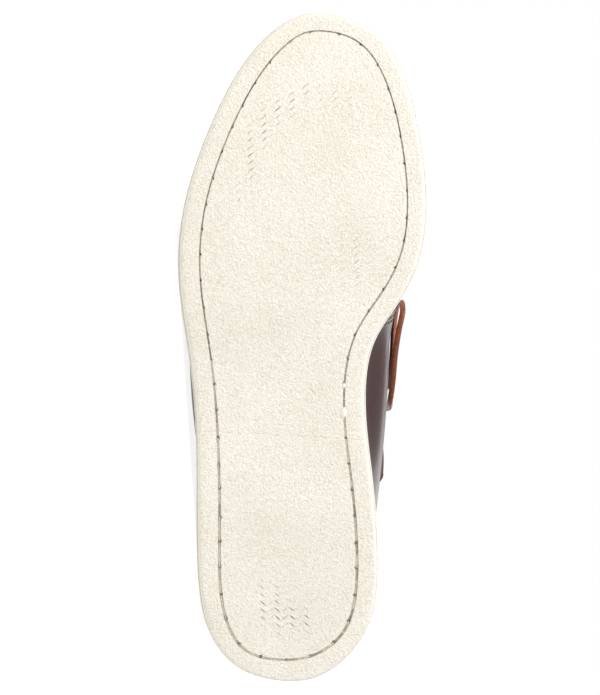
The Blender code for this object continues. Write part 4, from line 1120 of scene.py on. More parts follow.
# %% Build the outsole
def build_outsole():
    coarse, first, lines, sipes = coarse_columns()
    fine, starts = fine_columns(coarse)
    few, many = len(coarse), len(fine)
    inner_ring = inset_ring(coarse, field_inset(coarse), tread_height)
    rings = channel_rings(fine) + edge_rings()
    points = [inner_ring] + [inset_ring(fine, inset, height) for inset, height, _ in rings]
    cuts = [np.zeros(few)] + [np.broadcast_to(mark, many) for _, _, mark in rings]
    starts = starts + [many]
    faces = []
    for k in range(few):
        strip = [few + i % many for i in range(starts[k], starts[k + 1] + 1)]
        faces.append((k, (k + 1) % few, *reversed(strip)))
    index = few + np.arange(len(rings) * many).reshape(len(rings), many)
    faces += grid_faces(index).tolist()
    seat = few + (len(rings) - 1) * many
    faces += [
        (seat + a, seat + (a + 1) % many, seat + many - a - 1, seat + (many - a) % many)
        for a in range(many // 2)
    ]
    field_points, field_faces, field_cut_shade = siped_field(inner_ring, first, lines, sipes)
    start = few + len(rings) * many
    faces += [tuple(i + start for i in face) for face in field_faces]
    net = np.concatenate([*points, field_points])
    sides = [0.0] * len(channel_rings(fine[:1])) + side_marks(len(edge_rings()))
    # the cut mark is painted shade in the sipes, the channel and the side groove
    marks = {
        "cut": np.concatenate([*cuts, field_cut_shade]),
        "side": np.concatenate([np.zeros(few), np.repeat(sides, many), np.zeros(len(field_cut_shade))]),
    }
    print(few, "coarse and", many, "fine places round the sole")
    return new_piece("siped_outsole", net, faces, [rubber], marks=marks, sharp=42)


outsole = set_in_place(build_outsole(), "sole_rubber", "outsole")

# %% [markdown]
# ## Thread and glue in the channel
# The sole is lock-stitched with waxed linen thread. It lies in the channel from needle hole to
# needle hole, pale and a little fuzzy where it is clean, grey-brown on a few stitches where dirt
# has caught, and painted grey-brown shade round the forefoot, where the channel closes to a crack.
# At the inner waist drops of white glue have come up through the seam. Each stitch is two short
# capsules, which follow the channel's curve, and all are one mesh, because an array of objects
# would be slow and hard to handle.

# %% Stitches as capsules
def capsules(starts, ends, normals, radius, flatness=1.0, sides=6, rings=3):
    """One mesh of round-ended rods between pairs of points."""
    starts, ends = np.asarray(starts, float), np.asarray(ends, float)
    ahead = unit(ends - starts)
    across = unit(np.cross(ahead, normals))
    up = np.cross(across, ahead)
    turns = np.linspace(0, np.pi / 2, rings + 1)
    profile = [(-math.cos(a), math.sin(a), 0.0) for a in turns]
    profile += [(math.sin(a), math.cos(a), 1.0) for a in turns]
    angles = 2 * np.pi * np.arange(sides) / sides
    length = np.linalg.norm(ends - starts, axis=1, keepdims=True)
    net = []
    for reach, round_off, end in profile:
        run = radius * (1 + reach) if end == 0 else length - radius * (1 - reach)
        middle = starts + ahead * run
        for angle in angles:
            side = across * math.cos(angle) + up * math.sin(angle) * flatness
            net.append(middle + side * radius * round_off)
    net = np.stack(net, axis=1)
    index = np.arange(net.shape[1]).reshape(len(profile), sides)
    one = grid_faces(index)
    every = (one[None] + (np.arange(len(starts)) * net.shape[1])[:, None, None]).reshape(-1, 4)
    return net.reshape(-1, 3), every


THREAD_RADIUS = 0.00042
THREAD_SUNK = 0.00020
THREAD_PARTS = 2
THREAD_GAP = 0.07
THREAD_THINNING = 0.30
THINNER_FROM = (0.40, 0.60)
# the thread is painted grey-brown as shade round the forefoot, where the channel is a crack, and
# with dirt on a few stitches at random
CRACK_SHADE_FROM = (0.38, 0.52)
CRACK_SHADE, CHANCE_GRIME = 0.35, 0.5
CLEAN_SHARE = 0.8


def make_thread_finish():
    finish, tree, shader, place = new_finish("waxed linen thread", {"Roughness": 0.7})
    soil = add_node(tree, "TexNoise", "Fac", sized(place, 17, Detail=4.0, Roughness=0.7))
    tones = ((0.36, "93866F"), (0.50, "CFC6B4"), (0.66, "E0D8C6"))
    tone = add_node(tree, "ValToRGB", "Color", {"Fac": soil}, tones)
    strands = add_node(tree, "TexNoise", "Fac", sized(place, 0.5, Detail=3.0))
    shades = ((0.35, "B5AA98"), (0.60, "FFFFFF"))
    twist = add_node(tree, "ValToRGB", "Color", {"Fac": strands}, shades)
    worked = add_node(tree, "Mix", 2, {0: 0.8, 6: tone, 7: twist}, **COLOUR_MULTIPLY)
    shade_and_grime_mark = add_node(tree, "Attribute", "Fac", attribute_name="shade_and_grime")
    # grey-brown mixed in by the mark: painted shade in the forefoot crack, and dirt on a few
    # stitches
    colour = add_node(tree, "Mix", 2, {0: shade_and_grime_mark, 6: worked, 7: linear("5E5244")}, **COLOUR_MIX)
    relief = add_node(tree, "Bump", "Normal", {"Height": strands, "Distance": 0.10 * MM})
    wire(tree, shader, {"Base Color": colour, "Normal": relief})
    return finish


def build_channel_thread(finish):
    """A stitch between each pair of needle holes, as short rods that follow the channel's curve."""
    fine = np.linspace(0, 2, 4001)
    walked, whole = walked_round(fine)
    count = round(whole / NEEDLE_PITCH) * THREAD_PARTS
    at = whole * (np.arange(count) / count)
    gap = whole / count
    lows = np.interp(at + gap * THREAD_GAP, walked, fine)
    highs = np.interp(at + gap * (1 - THREAD_GAP), walked, fine)
    height = lifted(tread_height, THREAD_SUNK + THREAD_RADIUS)
    insets = [read_round(CHANNEL_INSET, "inset", walks) for walks in (lows, highs)]
    low, high = inset_ring(lows, insets[0], height), inset_ring(highs, insets[1], height)
    side = np.minimum(lows, 2 - lows)
    radius = THREAD_RADIUS * (1 - THREAD_THINNING * smoothstep(*THINNER_FROM, side))
    points, faces = capsules(low, high, np.array([0, 0, -1.0]), radius[:, None], flatness=0.8)
    chance = hashed(at * 1e3, 2.0) > CLEAN_SHARE
    # painted shade round the forefoot, plus dirt on random stitches
    shade_and_grime = np.clip(CRACK_SHADE * smoothstep(*CRACK_SHADE_FROM, side) + CHANCE_GRIME * chance, 0, 1)
    marks = {"shade_and_grime": np.repeat(shade_and_grime, len(points) // len(lows))}
    return new_piece("channel_thread", points, faces.tolist(), [finish], marks=marks, sharp=180)


linen = make_thread_finish()
channel_thread = set_in_place(build_channel_thread(linen), "sole_rubber")

# %% Drops of glue at the inner waist: a white, slightly glossy dried film
GLUE_DROPS = (
    (-0.0190, 0.1318, 0.0007, 0.0012, 0.0005),
    (-0.0195, 0.1197, 0.0012, 0.0030, 0.0008),
    (-0.0188, 0.1155, 0.0004, 0.0008, 0.0004),
)
GLUE_SUNK = 0.0002
GLUE_LUMPS = ((0.16, 3.1, 1, 1), (0.10, 5.3, 0, 2))  # size, rate, axis, turn


def ball_net():
    """Points and faces of a round ball of radius one."""
    shape = bmesh.new()
    bmesh.ops.create_icosphere(shape, subdivisions=3, radius=1.0)
    points = np.array([v.co for v in shape.verts])
    faces = [tuple(v.index for v in f.verts) for f in shape.faces]
    shape.free()
    return points, faces


def make_glue_finish():
    finish, tree, shader, place = new_finish("dried white glue", {"Roughness": 0.38})
    skin = add_node(tree, "TexNoise", "Fac", sized(place, 1.6, Detail=3.0))
    tone = add_node(tree, "ValToRGB", "Color", {"Fac": skin}, ((0.3, "CDC8BD"), (0.7, "D8D4CA")))
    relief = add_node(tree, "Bump", "Normal", {"Height": skin, "Distance": 0.15 * MM})
    wire(tree, shader, {"Base Color": tone, "Normal": relief})
    return finish


def build_glue(finish):
    parts = []
    ball, net = ball_net()
    for number, (out, along, wide, long, tall) in enumerate(GLUE_DROPS):
        lumpy = np.ones(len(ball))
        for size, rate, axis, turn in GLUE_LUMPS:
            lumpy += size * np.sin(rate * ball[:, axis] + turn * number)
        drop = ball * lumpy[:, None] * np.array([wide, long, tall])
        centre = np.array([out, along, float(tread_height(along / LENGTH)) + GLUE_SUNK])
        parts.append((drop + centre, net, np.zeros(len(drop))))
    points, faces, _ = joined(parts)
    return new_piece("glue_drops", points, faces, [finish], sharp=180)


glue = set_in_place(build_glue(make_glue_finish()), "sole_rubber")

# %% [markdown]
# ## Plum-brown polished leather
# The upper is smooth, oiled and polished cowhide: a dielectric with a thin wax coat. Its colour
# lies deep and brown, and the coat shows greyish where it mirrors the white room. Fine pores
# cover it, and the folds and edges are a little worn and lighter. A mark on the mesh says
# where, because wear follows the making and not the light. The lining is split pigskin, matt
# and tan.

# %% Polished cowhide, and the lining inside
def make_upper_finish():
    finish, tree, shader, place = new_finish(
        "polished plum-brown cowhide",
        {"Coat Weight": 0.25, "Coat Roughness": 0.16, "Specular IOR Level": 0.06},
    )
    depth = add_node(tree, "TexNoise", "Fac", sized(place, 26, Detail=5.0, Roughness=0.6))
    tones = ((0.30, "190E10"), (0.50, "201214"), (0.70, "28171A"))
    body = add_node(tree, "ValToRGB", "Color", {"Fac": depth}, tones)
    worn = add_node(tree, "Attribute", "Fac", attribute_name="worn")
    rubbed = add_node(tree, "Mix", 2, {0: worn, 6: body, 7: linear("6B4238")}, **COLOUR_MIX)
    pores = add_node(tree, "TexVoronoi", "Distance", sized(place, 0.9))
    dots = add_node(tree, "ValToRGB", "Color", {"Fac": pores}, ((0.05, "B0A0A0"), (0.22, "FFFFFF")))
    colour = add_node(tree, "Mix", 2, {0: 0.5, 6: rubbed, 7: dots}, **COLOUR_MULTIPLY)
    wrinkle = add_node(tree, "TexNoise", "Fac", sized(place, 2.2, Detail=6.0, Roughness=0.6))
    pitted = add_node(tree, "Bump", "Normal", {"Height": pores, "Distance": 0.05 * MM})
    sockets = {"Height": wrinkle, "Distance": 0.10 * MM, "Normal": pitted}
    relief = add_node(tree, "Bump", "Normal", sockets)
    rough = add_node(tree, "MapRange", "Result", {"Value": depth, "To Min": 0.28, "To Max": 0.44})
    wire(tree, shader, {"Base Color": colour, "Roughness": rough, "Normal": relief})
    return finish


def make_lining_finish():
    finish, tree, shader, place = new_finish("tan pigskin lining", {"Roughness": 0.78})
    cloud = add_node(tree, "TexNoise", "Fac", sized(place, 14, Detail=5.0, Roughness=0.65))
    tones = ((0.30, "94694A"), (0.55, "A97D5B"), (0.75, "B98E6B"))
    body = add_node(tree, "ValToRGB", "Color", {"Fac": cloud}, tones)
    pits = add_node(tree, "TexVoronoi", "Distance", sized(place, 1.6))
    dots = add_node(tree, "ValToRGB", "Color", {"Fac": pits}, ((0.06, "7C5A44"), (0.20, "FFFFFF")))
    colour = add_node(tree, "Mix", 2, {0: 0.6, 6: body, 7: dots}, **COLOUR_MULTIPLY)
    pitted = add_node(tree, "Bump", "Normal", {"Height": pits, "Distance": 0.12 * MM})
    sockets = {"Height": cloud, "Distance": 0.2 * MM, "Normal": pitted}
    relief = add_node(tree, "Bump", "Normal", sockets)
    wire(tree, shader, {"Base Color": colour, "Normal": relief})
    return finish


cowhide = make_upper_finish()
pigskin = make_lining_finish()
print("finishes:", cowhide.name, "and", pigskin.name)

# %% [markdown]
# ## The upper's relief
# On a moccasin the apron is sewn to the vamp with a raised seam, and the vamp, which is longer
# than the apron's edge, is gathered into small puckers under it. The quarters lie over the vamp
# and end in a cut edge. The collar has a folded band. Each of these is a height over the last,
# as a function of the place, so they add up and never fight.

# %% Heights over the last, in metres
QUARTER_STEP = 0.0008
SEAM_RISE = 0.0022
SEAM_WIDTH = 0.0056
PUCKER_PITCH = 0.0042
PUCKER_DEPTH = 0.00045
PUCKER_REACH = 0.0055
BAND_DEPTH = 0.0065
BAND_STEP = 0.0005
BAND_EDGE = (-0.002, 0.012)
BAND_END = 0.03
EDGE_RUN = 0.0012
SEAM_START = 0.004
PUCKERS_FROM = (0.02, 0.72)
PUCKER_START = 0.0016
PUCKER_STRAY, STRAY_WAVE = 0.6, 9
CREASE_HEIGHTS = (0.022, 0.038)
CREASE_LEVEL, CREASE_UNEVEN, CREASE_WAVE = 0.045, 0.3, 90
FLEX_CREASES = Table(
    "along lean width depth",
    (0.186, 0.20, 0.0032, 0.00055),
    (0.197, 0.10, 0.0028, 0.00075),
    (0.209, -0.05, 0.0034, 0.00050),
)


def seam_walked(column):
    """How far along the apron seam a column is, in metres."""
    fine = np.linspace(QUARTER_FRONT, 2 - QUARTER_FRONT, 600)
    line = last_point(fine, np.full(600, SEAM))
    return np.interp(np.mod(column, 2), fine, walked_along(line))


def swell(column, level):
    """How far the upper's outside stands over the last: the quarter's step and the apron seam."""
    side = np.minimum(np.mod(column, 2), 2 - np.mod(column, 2))
    over = np.clip((QUARTER_FRONT + EDGE_RUN - side) / EDGE_RUN, 0, 1)
    step = QUARTER_STEP * np.sqrt(1 - (1 - over) ** 2)
    knots = section_knots(leaned(column, level))
    chord = np.linalg.norm(knots[3] - knots[2], axis=-1)
    away = np.abs(level - SEAM) * chord / (SEAM_WIDTH / 2)
    sewn = smoothstep(QUARTER_FRONT, QUARTER_FRONT + SEAM_START, side)
    return step + SEAM_RISE * np.cos(np.clip(away, 0, 1) * np.pi / 2) ** 2 * sewn


def puckers(column, level):
    """The gathers of the vamp under the apron seam."""
    side = np.minimum(np.mod(column, 2), 2 - np.mod(column, 2))
    knots = section_knots(leaned(column, level))
    below = (SEAM - level) * np.linalg.norm(knots[3] - knots[2], axis=-1)
    begun = smoothstep(QUARTER_FRONT + PUCKERS_FROM[0], PUCKERS_FROM[1], side)
    strength = begun * np.where(below > 0, 1.0, 0.0)
    fold = np.exp(-np.abs(below) / PUCKER_REACH) * smoothstep(0, PUCKER_START, np.abs(below))
    stray = PUCKER_STRAY * np.sin(STRAY_WAVE * column)
    wave = np.cos(2 * np.pi * seam_walked(column) / PUCKER_PITCH + stray)
    return PUCKER_DEPTH * (wave - 1) * fold * strength


def flex_creases(points):
    """Three soft troughs over the ball of the foot, where the shoe bends."""
    found = np.zeros(len(points))
    for along, lean, width, depth in FLEX_CREASES.rows():
        off = points[:, 1] - along - lean * (points[:, 2] - CREASE_LEVEL)
        high = smoothstep(*CREASE_HEIGHTS, points[:, 2])
        uneven = 1 - CREASE_UNEVEN + CREASE_UNEVEN * np.sin(CREASE_WAVE * points[:, 0])
        found -= depth * np.exp(-((off / width) ** 2)) * high * uneven
    return found


def over_upper(column, level, height):
    """A point at a height over the upper's outside."""
    stand = (swell(column, level) + height)[..., None]
    return last_point(column, level) + last_normal(column, level) * stand


def rows_under_edge(columns, depths):
    """Levels of the wall at depths below its top edge, one row for each depth."""
    return [level_beside(columns, TOP, -np.asarray(depth)) for depth in depths]


seam_length = float(seam_walked(np.array([2 - QUARTER_FRONT]))[0])
print("puckers along", round(seam_length * 1000), "mm of seam")


# %% Columns and rows of the upper's net: dense where there is relief
COLUMNS_BEHIND, COLUMNS_ROUND, COLUMNS_AHEAD = 110, 16, 132
LOW_ROWS, SEAM_ROWS, HIGH_ROWS, RIM_ROWS, INSIDE_ROWS = 16, 22, 16, 5, 14
RIM_RISE = 0.0011
SEAM_WEAR, RIM_WEAR = 0.35, 0.45
EDGE_COLUMNS = (-0.4, 0.0, 0.25, 0.55, 0.8, 0.95, 1.05, 1.6)
EDGE_CLEAR = 5e-4
BAND_ROWS = (0, 0.05, 0.12, 0.3, 0.5, 0.7, 0.85, 1)
BAND_MARGIN = 0.0006
BAND_LEAST = 0.35
SEAM_REACH = SEAM_WIDTH * 1.6


def upper_columns():
    behind = np.linspace(0, THROAT_ROUND_START, COLUMNS_BEHIND)
    turn = np.sin(np.linspace(0, np.pi / 2, COLUMNS_ROUND + 1)[1:])
    around = THROAT_ROUND_START + (THROAT_FRONT - THROAT_ROUND_START) * turn
    ahead = np.linspace(THROAT_FRONT, 1, COLUMNS_AHEAD)[1:]
    side = column_under(np.concatenate([behind, around, ahead]))
    edge = QUARTER_FRONT + EDGE_RUN * np.array(EDGE_COLUMNS)
    side = side[(side < edge[0] - EDGE_CLEAR) | (side > edge[-1] + EDGE_CLEAR)]
    side = np.sort(np.concatenate([side, edge]))
    return np.concatenate([side, 2 - side[-2:0:-1]]), len(side)


def upper_levels(columns):
    """Rows from feather edge to top: even below, closer at the seam, and closer at the band."""
    top_walk = leaned(columns, np.full(columns.shape, TOP))
    meets = np.minimum(top_walk, 2 - top_walk) >= THROAT_FRONT - 1e-6
    low = level_beside(columns, SEAM, -SEAM_REACH)
    high = level_beside(columns, SEAM, SEAM_REACH * 0.5)
    band = level_beside(columns, TOP, -(BAND_DEPTH + BAND_MARGIN))
    band = np.maximum(band, high + (TOP - high) * BAND_LEAST)
    last = np.where(meets, TOP, level_beside(columns, TOP, -RIM_RISE))
    rows = []
    spans = ((0 * low, low, LOW_ROWS), (low, high, SEAM_ROWS), (high, band, HIGH_ROWS))
    for start, end, count in spans:
        shares = np.linspace(0, 1, count, endpoint=False)
        rows += [start + (end - start) * share for share in shares]
    return rows + [band + (last - band) * share for share in BAND_ROWS], meets


def grid_normals(points, faces):
    """Outward directions at the points of a net, weighted by its faces' areas."""
    corners = points[faces]
    across = np.cross(corners[:, 2] - corners[:, 0], corners[:, 3] - corners[:, 1])
    normals = np.zeros_like(points)
    for k in range(4):
        np.add.at(normals, faces[:, k], across)
    return unit(normals)


# %% Build the upper: outside, rolled rim, and lining
def build_upper():
    columns, half = upper_columns()
    levels, meets = upper_levels(columns)
    count, rows = len(columns), len(levels)
    base = np.stack([last_point(columns, level) for level in levels])
    index = np.arange(rows * count).reshape(rows, count)
    merged = index.copy()
    for k in range(half, count):
        if meets[k]:
            merged[-1, k] = merged[-1, count - k]
    normals = grid_normals(base.reshape(-1, 3), grid_faces(merged))[merged].reshape(rows, count, 3)
    normals[0, :, 2] = 0
    normals[0] = unit(normals[0])
    rise = np.stack([swell(columns, level) + puckers(columns, level) for level in levels])
    rise += flex_creases(base.reshape(-1, 3)).reshape(rows, count)
    band = level_beside(columns, TOP, -BAND_DEPTH)
    top_walk = leaned(columns, TOP)
    open_edge = smoothstep(0, BAND_END, THROAT_FRONT - np.minimum(top_walk, 2 - top_walk))
    rise += BAND_STEP * smoothstep(*BAND_EDGE, np.stack(levels) - band) * open_edge
    outer = base + normals * rise[..., None]
    lining_rows = np.unique(np.linspace(0, rows - 1, INSIDE_ROWS).round().astype(int))[::-1]
    inner = (base - normals * WALL)[lining_rows]
    thick = (rise[-1] + WALL) / 2
    middle = base[-1] + normals[-1] * (rise[-1] - thick)[:, None]
    upward = unit(base[-1] - base[-2])
    turns = np.linspace(0, np.pi, RIM_ROWS + 2)[1:-1]
    rim = np.stack([
        middle + normals[-1] * (thick * math.cos(a))[:, None] + upward * RIM_RISE * math.sin(a)
        for a in turns
    ])
    net = np.concatenate([outer, rim, inner])
    index = np.arange(net.shape[0] * count).reshape(-1, count)
    faces = grid_faces(index)
    row_of = np.repeat(np.arange(net.shape[0] - 1), count)
    column_of = np.tile(np.arange(count), net.shape[0] - 1)
    on_rim = (row_of >= rows - 1) & (row_of < rows + RIM_ROWS)
    closed = meets & np.roll(meets, -1)
    kept = ~(on_rim & closed[column_of])
    finish_of = (row_of >= rows + RIM_ROWS // 2).astype(int)
    bottom = np.stack([index[0], np.roll(index[0], -1), np.roll(index[-1], -1), index[-1]], axis=1)
    faces = np.concatenate([faces[kept], bottom])
    finish_of = np.concatenate([finish_of[kept], np.zeros(count, int)])
    worn = np.concatenate([
        np.clip(rise / SEAM_RISE, 0, 1) * SEAM_WEAR,
        np.full(rim.shape[:2], RIM_WEAR),
        np.zeros(inner.shape[:2]),
    ])
    return new_piece(
        "moccasin_upper", net.reshape(-1, 3), faces.tolist(), [cowhide, pigskin],
        finish_of=finish_of, marks={"worn": worn.ravel()}, sharp=50,
    )


upper = set_in_place(build_upper(), "upper_leather", "upper")

# %% [markdown]
# ## Plates of leather over the upper
# The heel's back strip and the two eyelet stays are cut from the same hide, 1.2 mm thick, and
# lie on the quarters. Each is a patch: a net of places on the upper, at two heights, closed
# round its edge. A box or a solidified sheet would not follow the last, and this does. Leather
# that is cut and rubbed has a soft edge, so a small bevel rounds it.

# %% A patch between two heights, with soft edges
OVERLAY = 0.0012
OVERLAY_GAP = 0.0003
PATCH_EDGE = 0.00045
PATCH_BED, PATCH_WEAR = 0.2, 0.12
EDGE_SEGMENTS, EDGE_ANGLE = 3, 50


def closed_shell(outer, inner, width):
    """Points and faces of a wall between two nets of rows, each width points wide."""
    count, rows = len(outer), len(outer) // width
    index = np.arange(count).reshape(rows, width)
    faces = sheet_faces(index)
    border = np.concatenate([index[0, :-1], index[:-1, -1], index[-1, :0:-1], index[:0:-1, 0]])
    after = np.roll(border, -1)
    walls = np.stack([after, border, border + count, after + count], axis=1)
    inside = faces[:, ::-1] + count
    return np.concatenate([outer, inner]), np.concatenate([faces, inside, walls])


def add_bevel(piece):
    edge = piece.modifiers.new("rubbed edge", "BEVEL")
    edge.width = PATCH_EDGE
    edge.segments = EDGE_SEGMENTS
    edge.limit_method = "ANGLE"
    edge.angle_limit = math.radians(EDGE_ANGLE)
    return piece


def over_patch(name, columns, rows, finish, skived=1.0):
    """A leather plate on the upper, from columns and one array of levels for each row."""
    places = np.repeat(columns, len(rows))
    levels = np.stack(rows, axis=1).ravel()
    thick = OVERLAY * np.broadcast_to(skived, columns.shape)
    outer = over_upper(places, levels, OVERLAY_GAP + np.repeat(thick, len(rows)))
    inner = over_upper(places, levels, OVERLAY_GAP * PATCH_BED)
    points, faces = closed_shell(outer, inner, len(rows))
    worn = np.concatenate([np.full(len(outer), PATCH_WEAR), np.zeros(len(inner))])
    return add_bevel(new_piece(name, points, faces.tolist(), [finish], marks={"worn": worn}))


# %% The heel's back strip and the eyelet stays
COUNTER_REACH = 0.150
COUNTER_TOP = 0.0020
COUNTER_LOW_LEVEL = 0.12
COUNTER_THIN, COUNTER_MORE, COUNTER_SKIVE_RUN = 0.20, 0.55, 0.022
EYESTAY_SPAN = (0.490, 0.662)
EYESTAY_DEPTH = 0.0150
EYESTAY_INSET = 0.0012
EYESTAY_END = 0.45


def counter_rows(columns, count=44):
    low = np.full(columns.shape, COUNTER_LOW_LEVEL)
    top = rows_under_edge(columns, [COUNTER_TOP])[0]
    return [low + (top - low) * share for share in np.linspace(0, 1, count)]


def eyestay_net(mirrored, count=48, rows=18, inset=0.0):
    """Columns of a stay, and its rows from its rounded lower edge up to the throat's edge."""
    along = -np.cos(np.linspace(inset * 9, np.pi - inset * 9, count))
    side = column_under(EYESTAY_SPAN[0] + (EYESTAY_SPAN[1] - EYESTAY_SPAN[0]) * (1 + along) / 2)
    full = EYESTAY_END + (1 - EYESTAY_END) * np.sqrt(1 - along**4)
    lower = EYESTAY_DEPTH * full - inset
    if mirrored:
        side, lower = 2 - side[::-1], lower[::-1]
    depths = [lower + (EYESTAY_INSET + inset - lower) * share for share in np.linspace(0, 1, rows)]
    return side, rows_under_edge(side, depths)


counter_columns = COUNTER_REACH * np.sin(np.linspace(-np.pi / 2, np.pi / 2, 64))
inward = COUNTER_REACH - np.abs(counter_columns)
skive = COUNTER_THIN + COUNTER_MORE * smoothstep(0, COUNTER_SKIVE_RUN, inward)
rows_up = counter_rows(counter_columns)
counter = over_patch("heel_back_strip", counter_columns, rows_up, cowhide, skive)
set_in_place(counter, "upper_leather", "heel_counter")
for side, mirrored in (("lateral", False), ("medial", True)):
    stay = over_patch("eyelet_stay_" + side, *eyestay_net(mirrored), cowhide)
    set_in_place(stay, "upper_leather", "eyestay_" + side)

# %% [markdown]
# ## Stitching on the upper
# Two rows of waxed thread hold each quarter to the vamp, one row runs under the collar, and one
# runs round each eyelet stay and the back strip. The apron seam is sewn by hand with a thicker
# thread that crosses the ridge. A stitch is a short round-ended rod on the surface, and a row
# of them is an array in one mesh, so its pitch stays even however the leather bends.

# %% Rows of stitches along paths on the upper
STITCH_PITCH = 0.0034
STITCH_SHARE = 0.74
STITCH_RADIUS = 0.00032
STITCH_LIFT = 0.0001
STITCH_FLATNESS = 0.8
APRON_PITCH = 0.0062
APRON_RADIUS = 0.00046
APRON_SPAN = 0.46
APRON_LEAN = 0.22
APRON_END = 0.012
QUARTER_ROWS = (0.0075, 0.0150)
QUARTER_ROW_LEVELS = (0.10, 0.38)
COLLAR_ROW_DEPTH = 0.0055
COLLAR_ROW_GAPS = (0.006, 0.006)
STRIP_ROW_INSET = 0.0075
STRIP_ROW_END = 0.002
STRIP_ROW_LEVEL = 0.08
STRIP_ROW_LIFT = 0.0007
STAY_ROW_INSET = 0.0022
PATH_POINTS = 160


def make_stitch_finish():
    finish, tree, shader, place = new_finish("waxed brown thread", {"Roughness": 0.55})
    twist = add_node(tree, "TexNoise", "Fac", sized(place, 0.6, Detail=2.0))
    tone = add_node(tree, "ValToRGB", "Color", {"Fac": twist}, ((0.35, "2C1A17"), (0.65, "523530")))
    relief = add_node(tree, "Bump", "Normal", {"Height": twist, "Distance": 0.12 * MM})
    wire(tree, shader, {"Base Color": tone, "Normal": relief})
    return finish


def stitch_row(columns, levels, height):
    """Starts, ends and outward directions of a row of stitches along a path on the upper."""
    path = over_upper(columns, levels, height)
    walked = walked_along(path)
    count = int(walked[-1] / STITCH_PITCH)
    starts = (np.arange(count) + (1 - STITCH_SHARE) / 2) * walked[-1] / count
    ends = starts + STITCH_SHARE * walked[-1] / count
    middle = starts + STITCH_SHARE * walked[-1] / count / 2
    facing = unit(read_along(last_normal(columns, levels), walked, middle))
    return read_along(path, walked, starts), read_along(path, walked, ends), facing


def both_sides(columns, levels, height):
    return [stitch_row(side, levels, height) for side in (columns, 2 - columns)]


def seam_stitches():
    """The apron's thick stitches: each goes over the ridge in two short rods."""
    fine = np.linspace(QUARTER_FRONT + APRON_END, 2 - QUARTER_FRONT - APRON_END, 900)
    walked = seam_walked(fine)
    count = int((walked[-1] - walked[0]) / APRON_PITCH)
    columns = np.interp(walked[0] + (np.arange(count) + 0.5) * APRON_PITCH, walked, fine)
    beyond = np.arange(count) + 0.5 + APRON_LEAN
    lean = np.interp(walked[0] + beyond * APRON_PITCH, walked, fine)
    low = over_upper(columns, level_beside(columns, SEAM, -SEAM_WIDTH * APRON_SPAN), 0.0)
    crest = over_upper((columns + lean) / 2, np.full(count, SEAM), APRON_RADIUS * 0.5)
    high = over_upper(lean, level_beside(lean, SEAM, SEAM_WIDTH * APRON_SPAN), 0.0)
    facing = last_normal(columns, np.full(count, SEAM))
    return [(low, crest, facing), (crest, high, facing)]


# %% Sew them
def build_stitching(finish):
    fine = np.linspace(0, 1, PATH_POINTS)
    rows = []
    for behind in QUARTER_ROWS:
        levels = QUARTER_ROW_LEVELS[0] + (TOP - QUARTER_ROW_LEVELS[1]) * fine
        rows += both_sides(np.full(PATH_POINTS, QUARTER_FRONT - behind), levels, STITCH_LIFT)
    start, end = COUNTER_REACH + COLLAR_ROW_GAPS[0], EYESTAY_SPAN[0] - COLLAR_ROW_GAPS[1]
    collar = column_under(start + (end - start) * fine)
    rows += both_sides(collar, rows_under_edge(collar, [COLLAR_ROW_DEPTH])[0], STITCH_LIFT)
    strip = np.full(PATH_POINTS, COUNTER_REACH - STRIP_ROW_INSET)
    top = rows_under_edge(strip, [COUNTER_TOP + STRIP_ROW_END])[0]
    low = COUNTER_LOW_LEVEL + STRIP_ROW_LEVEL
    rows += both_sides(strip, low + (top - low) * fine, STRIP_ROW_LIFT)
    side, levels = eyestay_net(False, count=PATH_POINTS, inset=STAY_ROW_INSET)
    rows += both_sides(side, levels[0], OVERLAY_GAP + OVERLAY)
    thin = [np.concatenate(part) for part in zip(*rows)]
    thick = [np.concatenate(part) for part in zip(*seam_stitches())]
    parts = []
    for stitches, radius in ((thin, STITCH_RADIUS), (thick, APRON_RADIUS)):
        net, every = capsules(*stitches, radius, flatness=STITCH_FLATNESS)
        parts.append((net, every.tolist(), np.zeros(len(net))))
    points, faces, _ = joined(parts)
    print(len(thin[0]), "fine stitches and", len(thick[0]) // 2, "over the apron seam")
    return new_piece("upper_stitching", points, faces, [finish], sharp=180)


set_in_place(build_stitching(make_stitch_finish()), "upper_leather")

# %% [markdown]
# ## Tongue and insole
# The tongue is one layer of the same hide. It lies under the quarters, arches over the instep
# and stands free at its top. The insole is a padded sock of tan leather that dips under the
# heel. Both are hidden in the photograph, so they are finished plainly. A coarse net and a
# subdivision surface keep the tongue soft.

# %% The tongue
TONGUE_SPAN = (0.540, 0.735)
TONGUE_LEVEL = 2.80
TONGUE_TOP_LEVEL = 2.98
TONGUE_TAPER = (0.550, 0.640)
TONGUE_ARCH = 1.15
TONGUE_GAP = 0.0015
TONGUE_THICKNESS = 0.0024
TONGUE_PROUD = 0.0190
TONGUE_TOP = ((1.00, 0.70, 0.48), (0.90, 0.61, 0.65), (0.62, 0.39, 0.76), (0.30, 0.16, 0.85))
TONGUE_ROWS = 9
TONGUE_POINTS = 11
TONGUE_WEAR = 0.1
ARCH_STEP = 0.1


def throat_arch(top_walk, level, fullness, count):
    """The last's surface carried on across the throat, from a level of one side to the other's."""
    column = np.array([column_under(top_walk)])
    if top_walk >= THROAT_FRONT:
        over = np.linspace(-1, 1, count)
        columns = np.where(over < 0, column, 2 - column)
        return last_point(columns, TOP - (TOP - level) * np.abs(over))
    sides = []
    above = min(level + ARCH_STEP, TOP)
    for walk in (column, 2 - column):
        lean_in = (last_point(walk, above) - last_point(walk, above - ARCH_STEP))[0]
        sides.append((last_point(walk, level)[0], unit(lean_in)))
    (start, leave), (end, arrive) = sides
    pull = fullness * np.linalg.norm(end - start)
    share = np.linspace(0, 1, count)[:, None]
    return smooth_between(start, leave * pull, end, -arrive * pull, share)


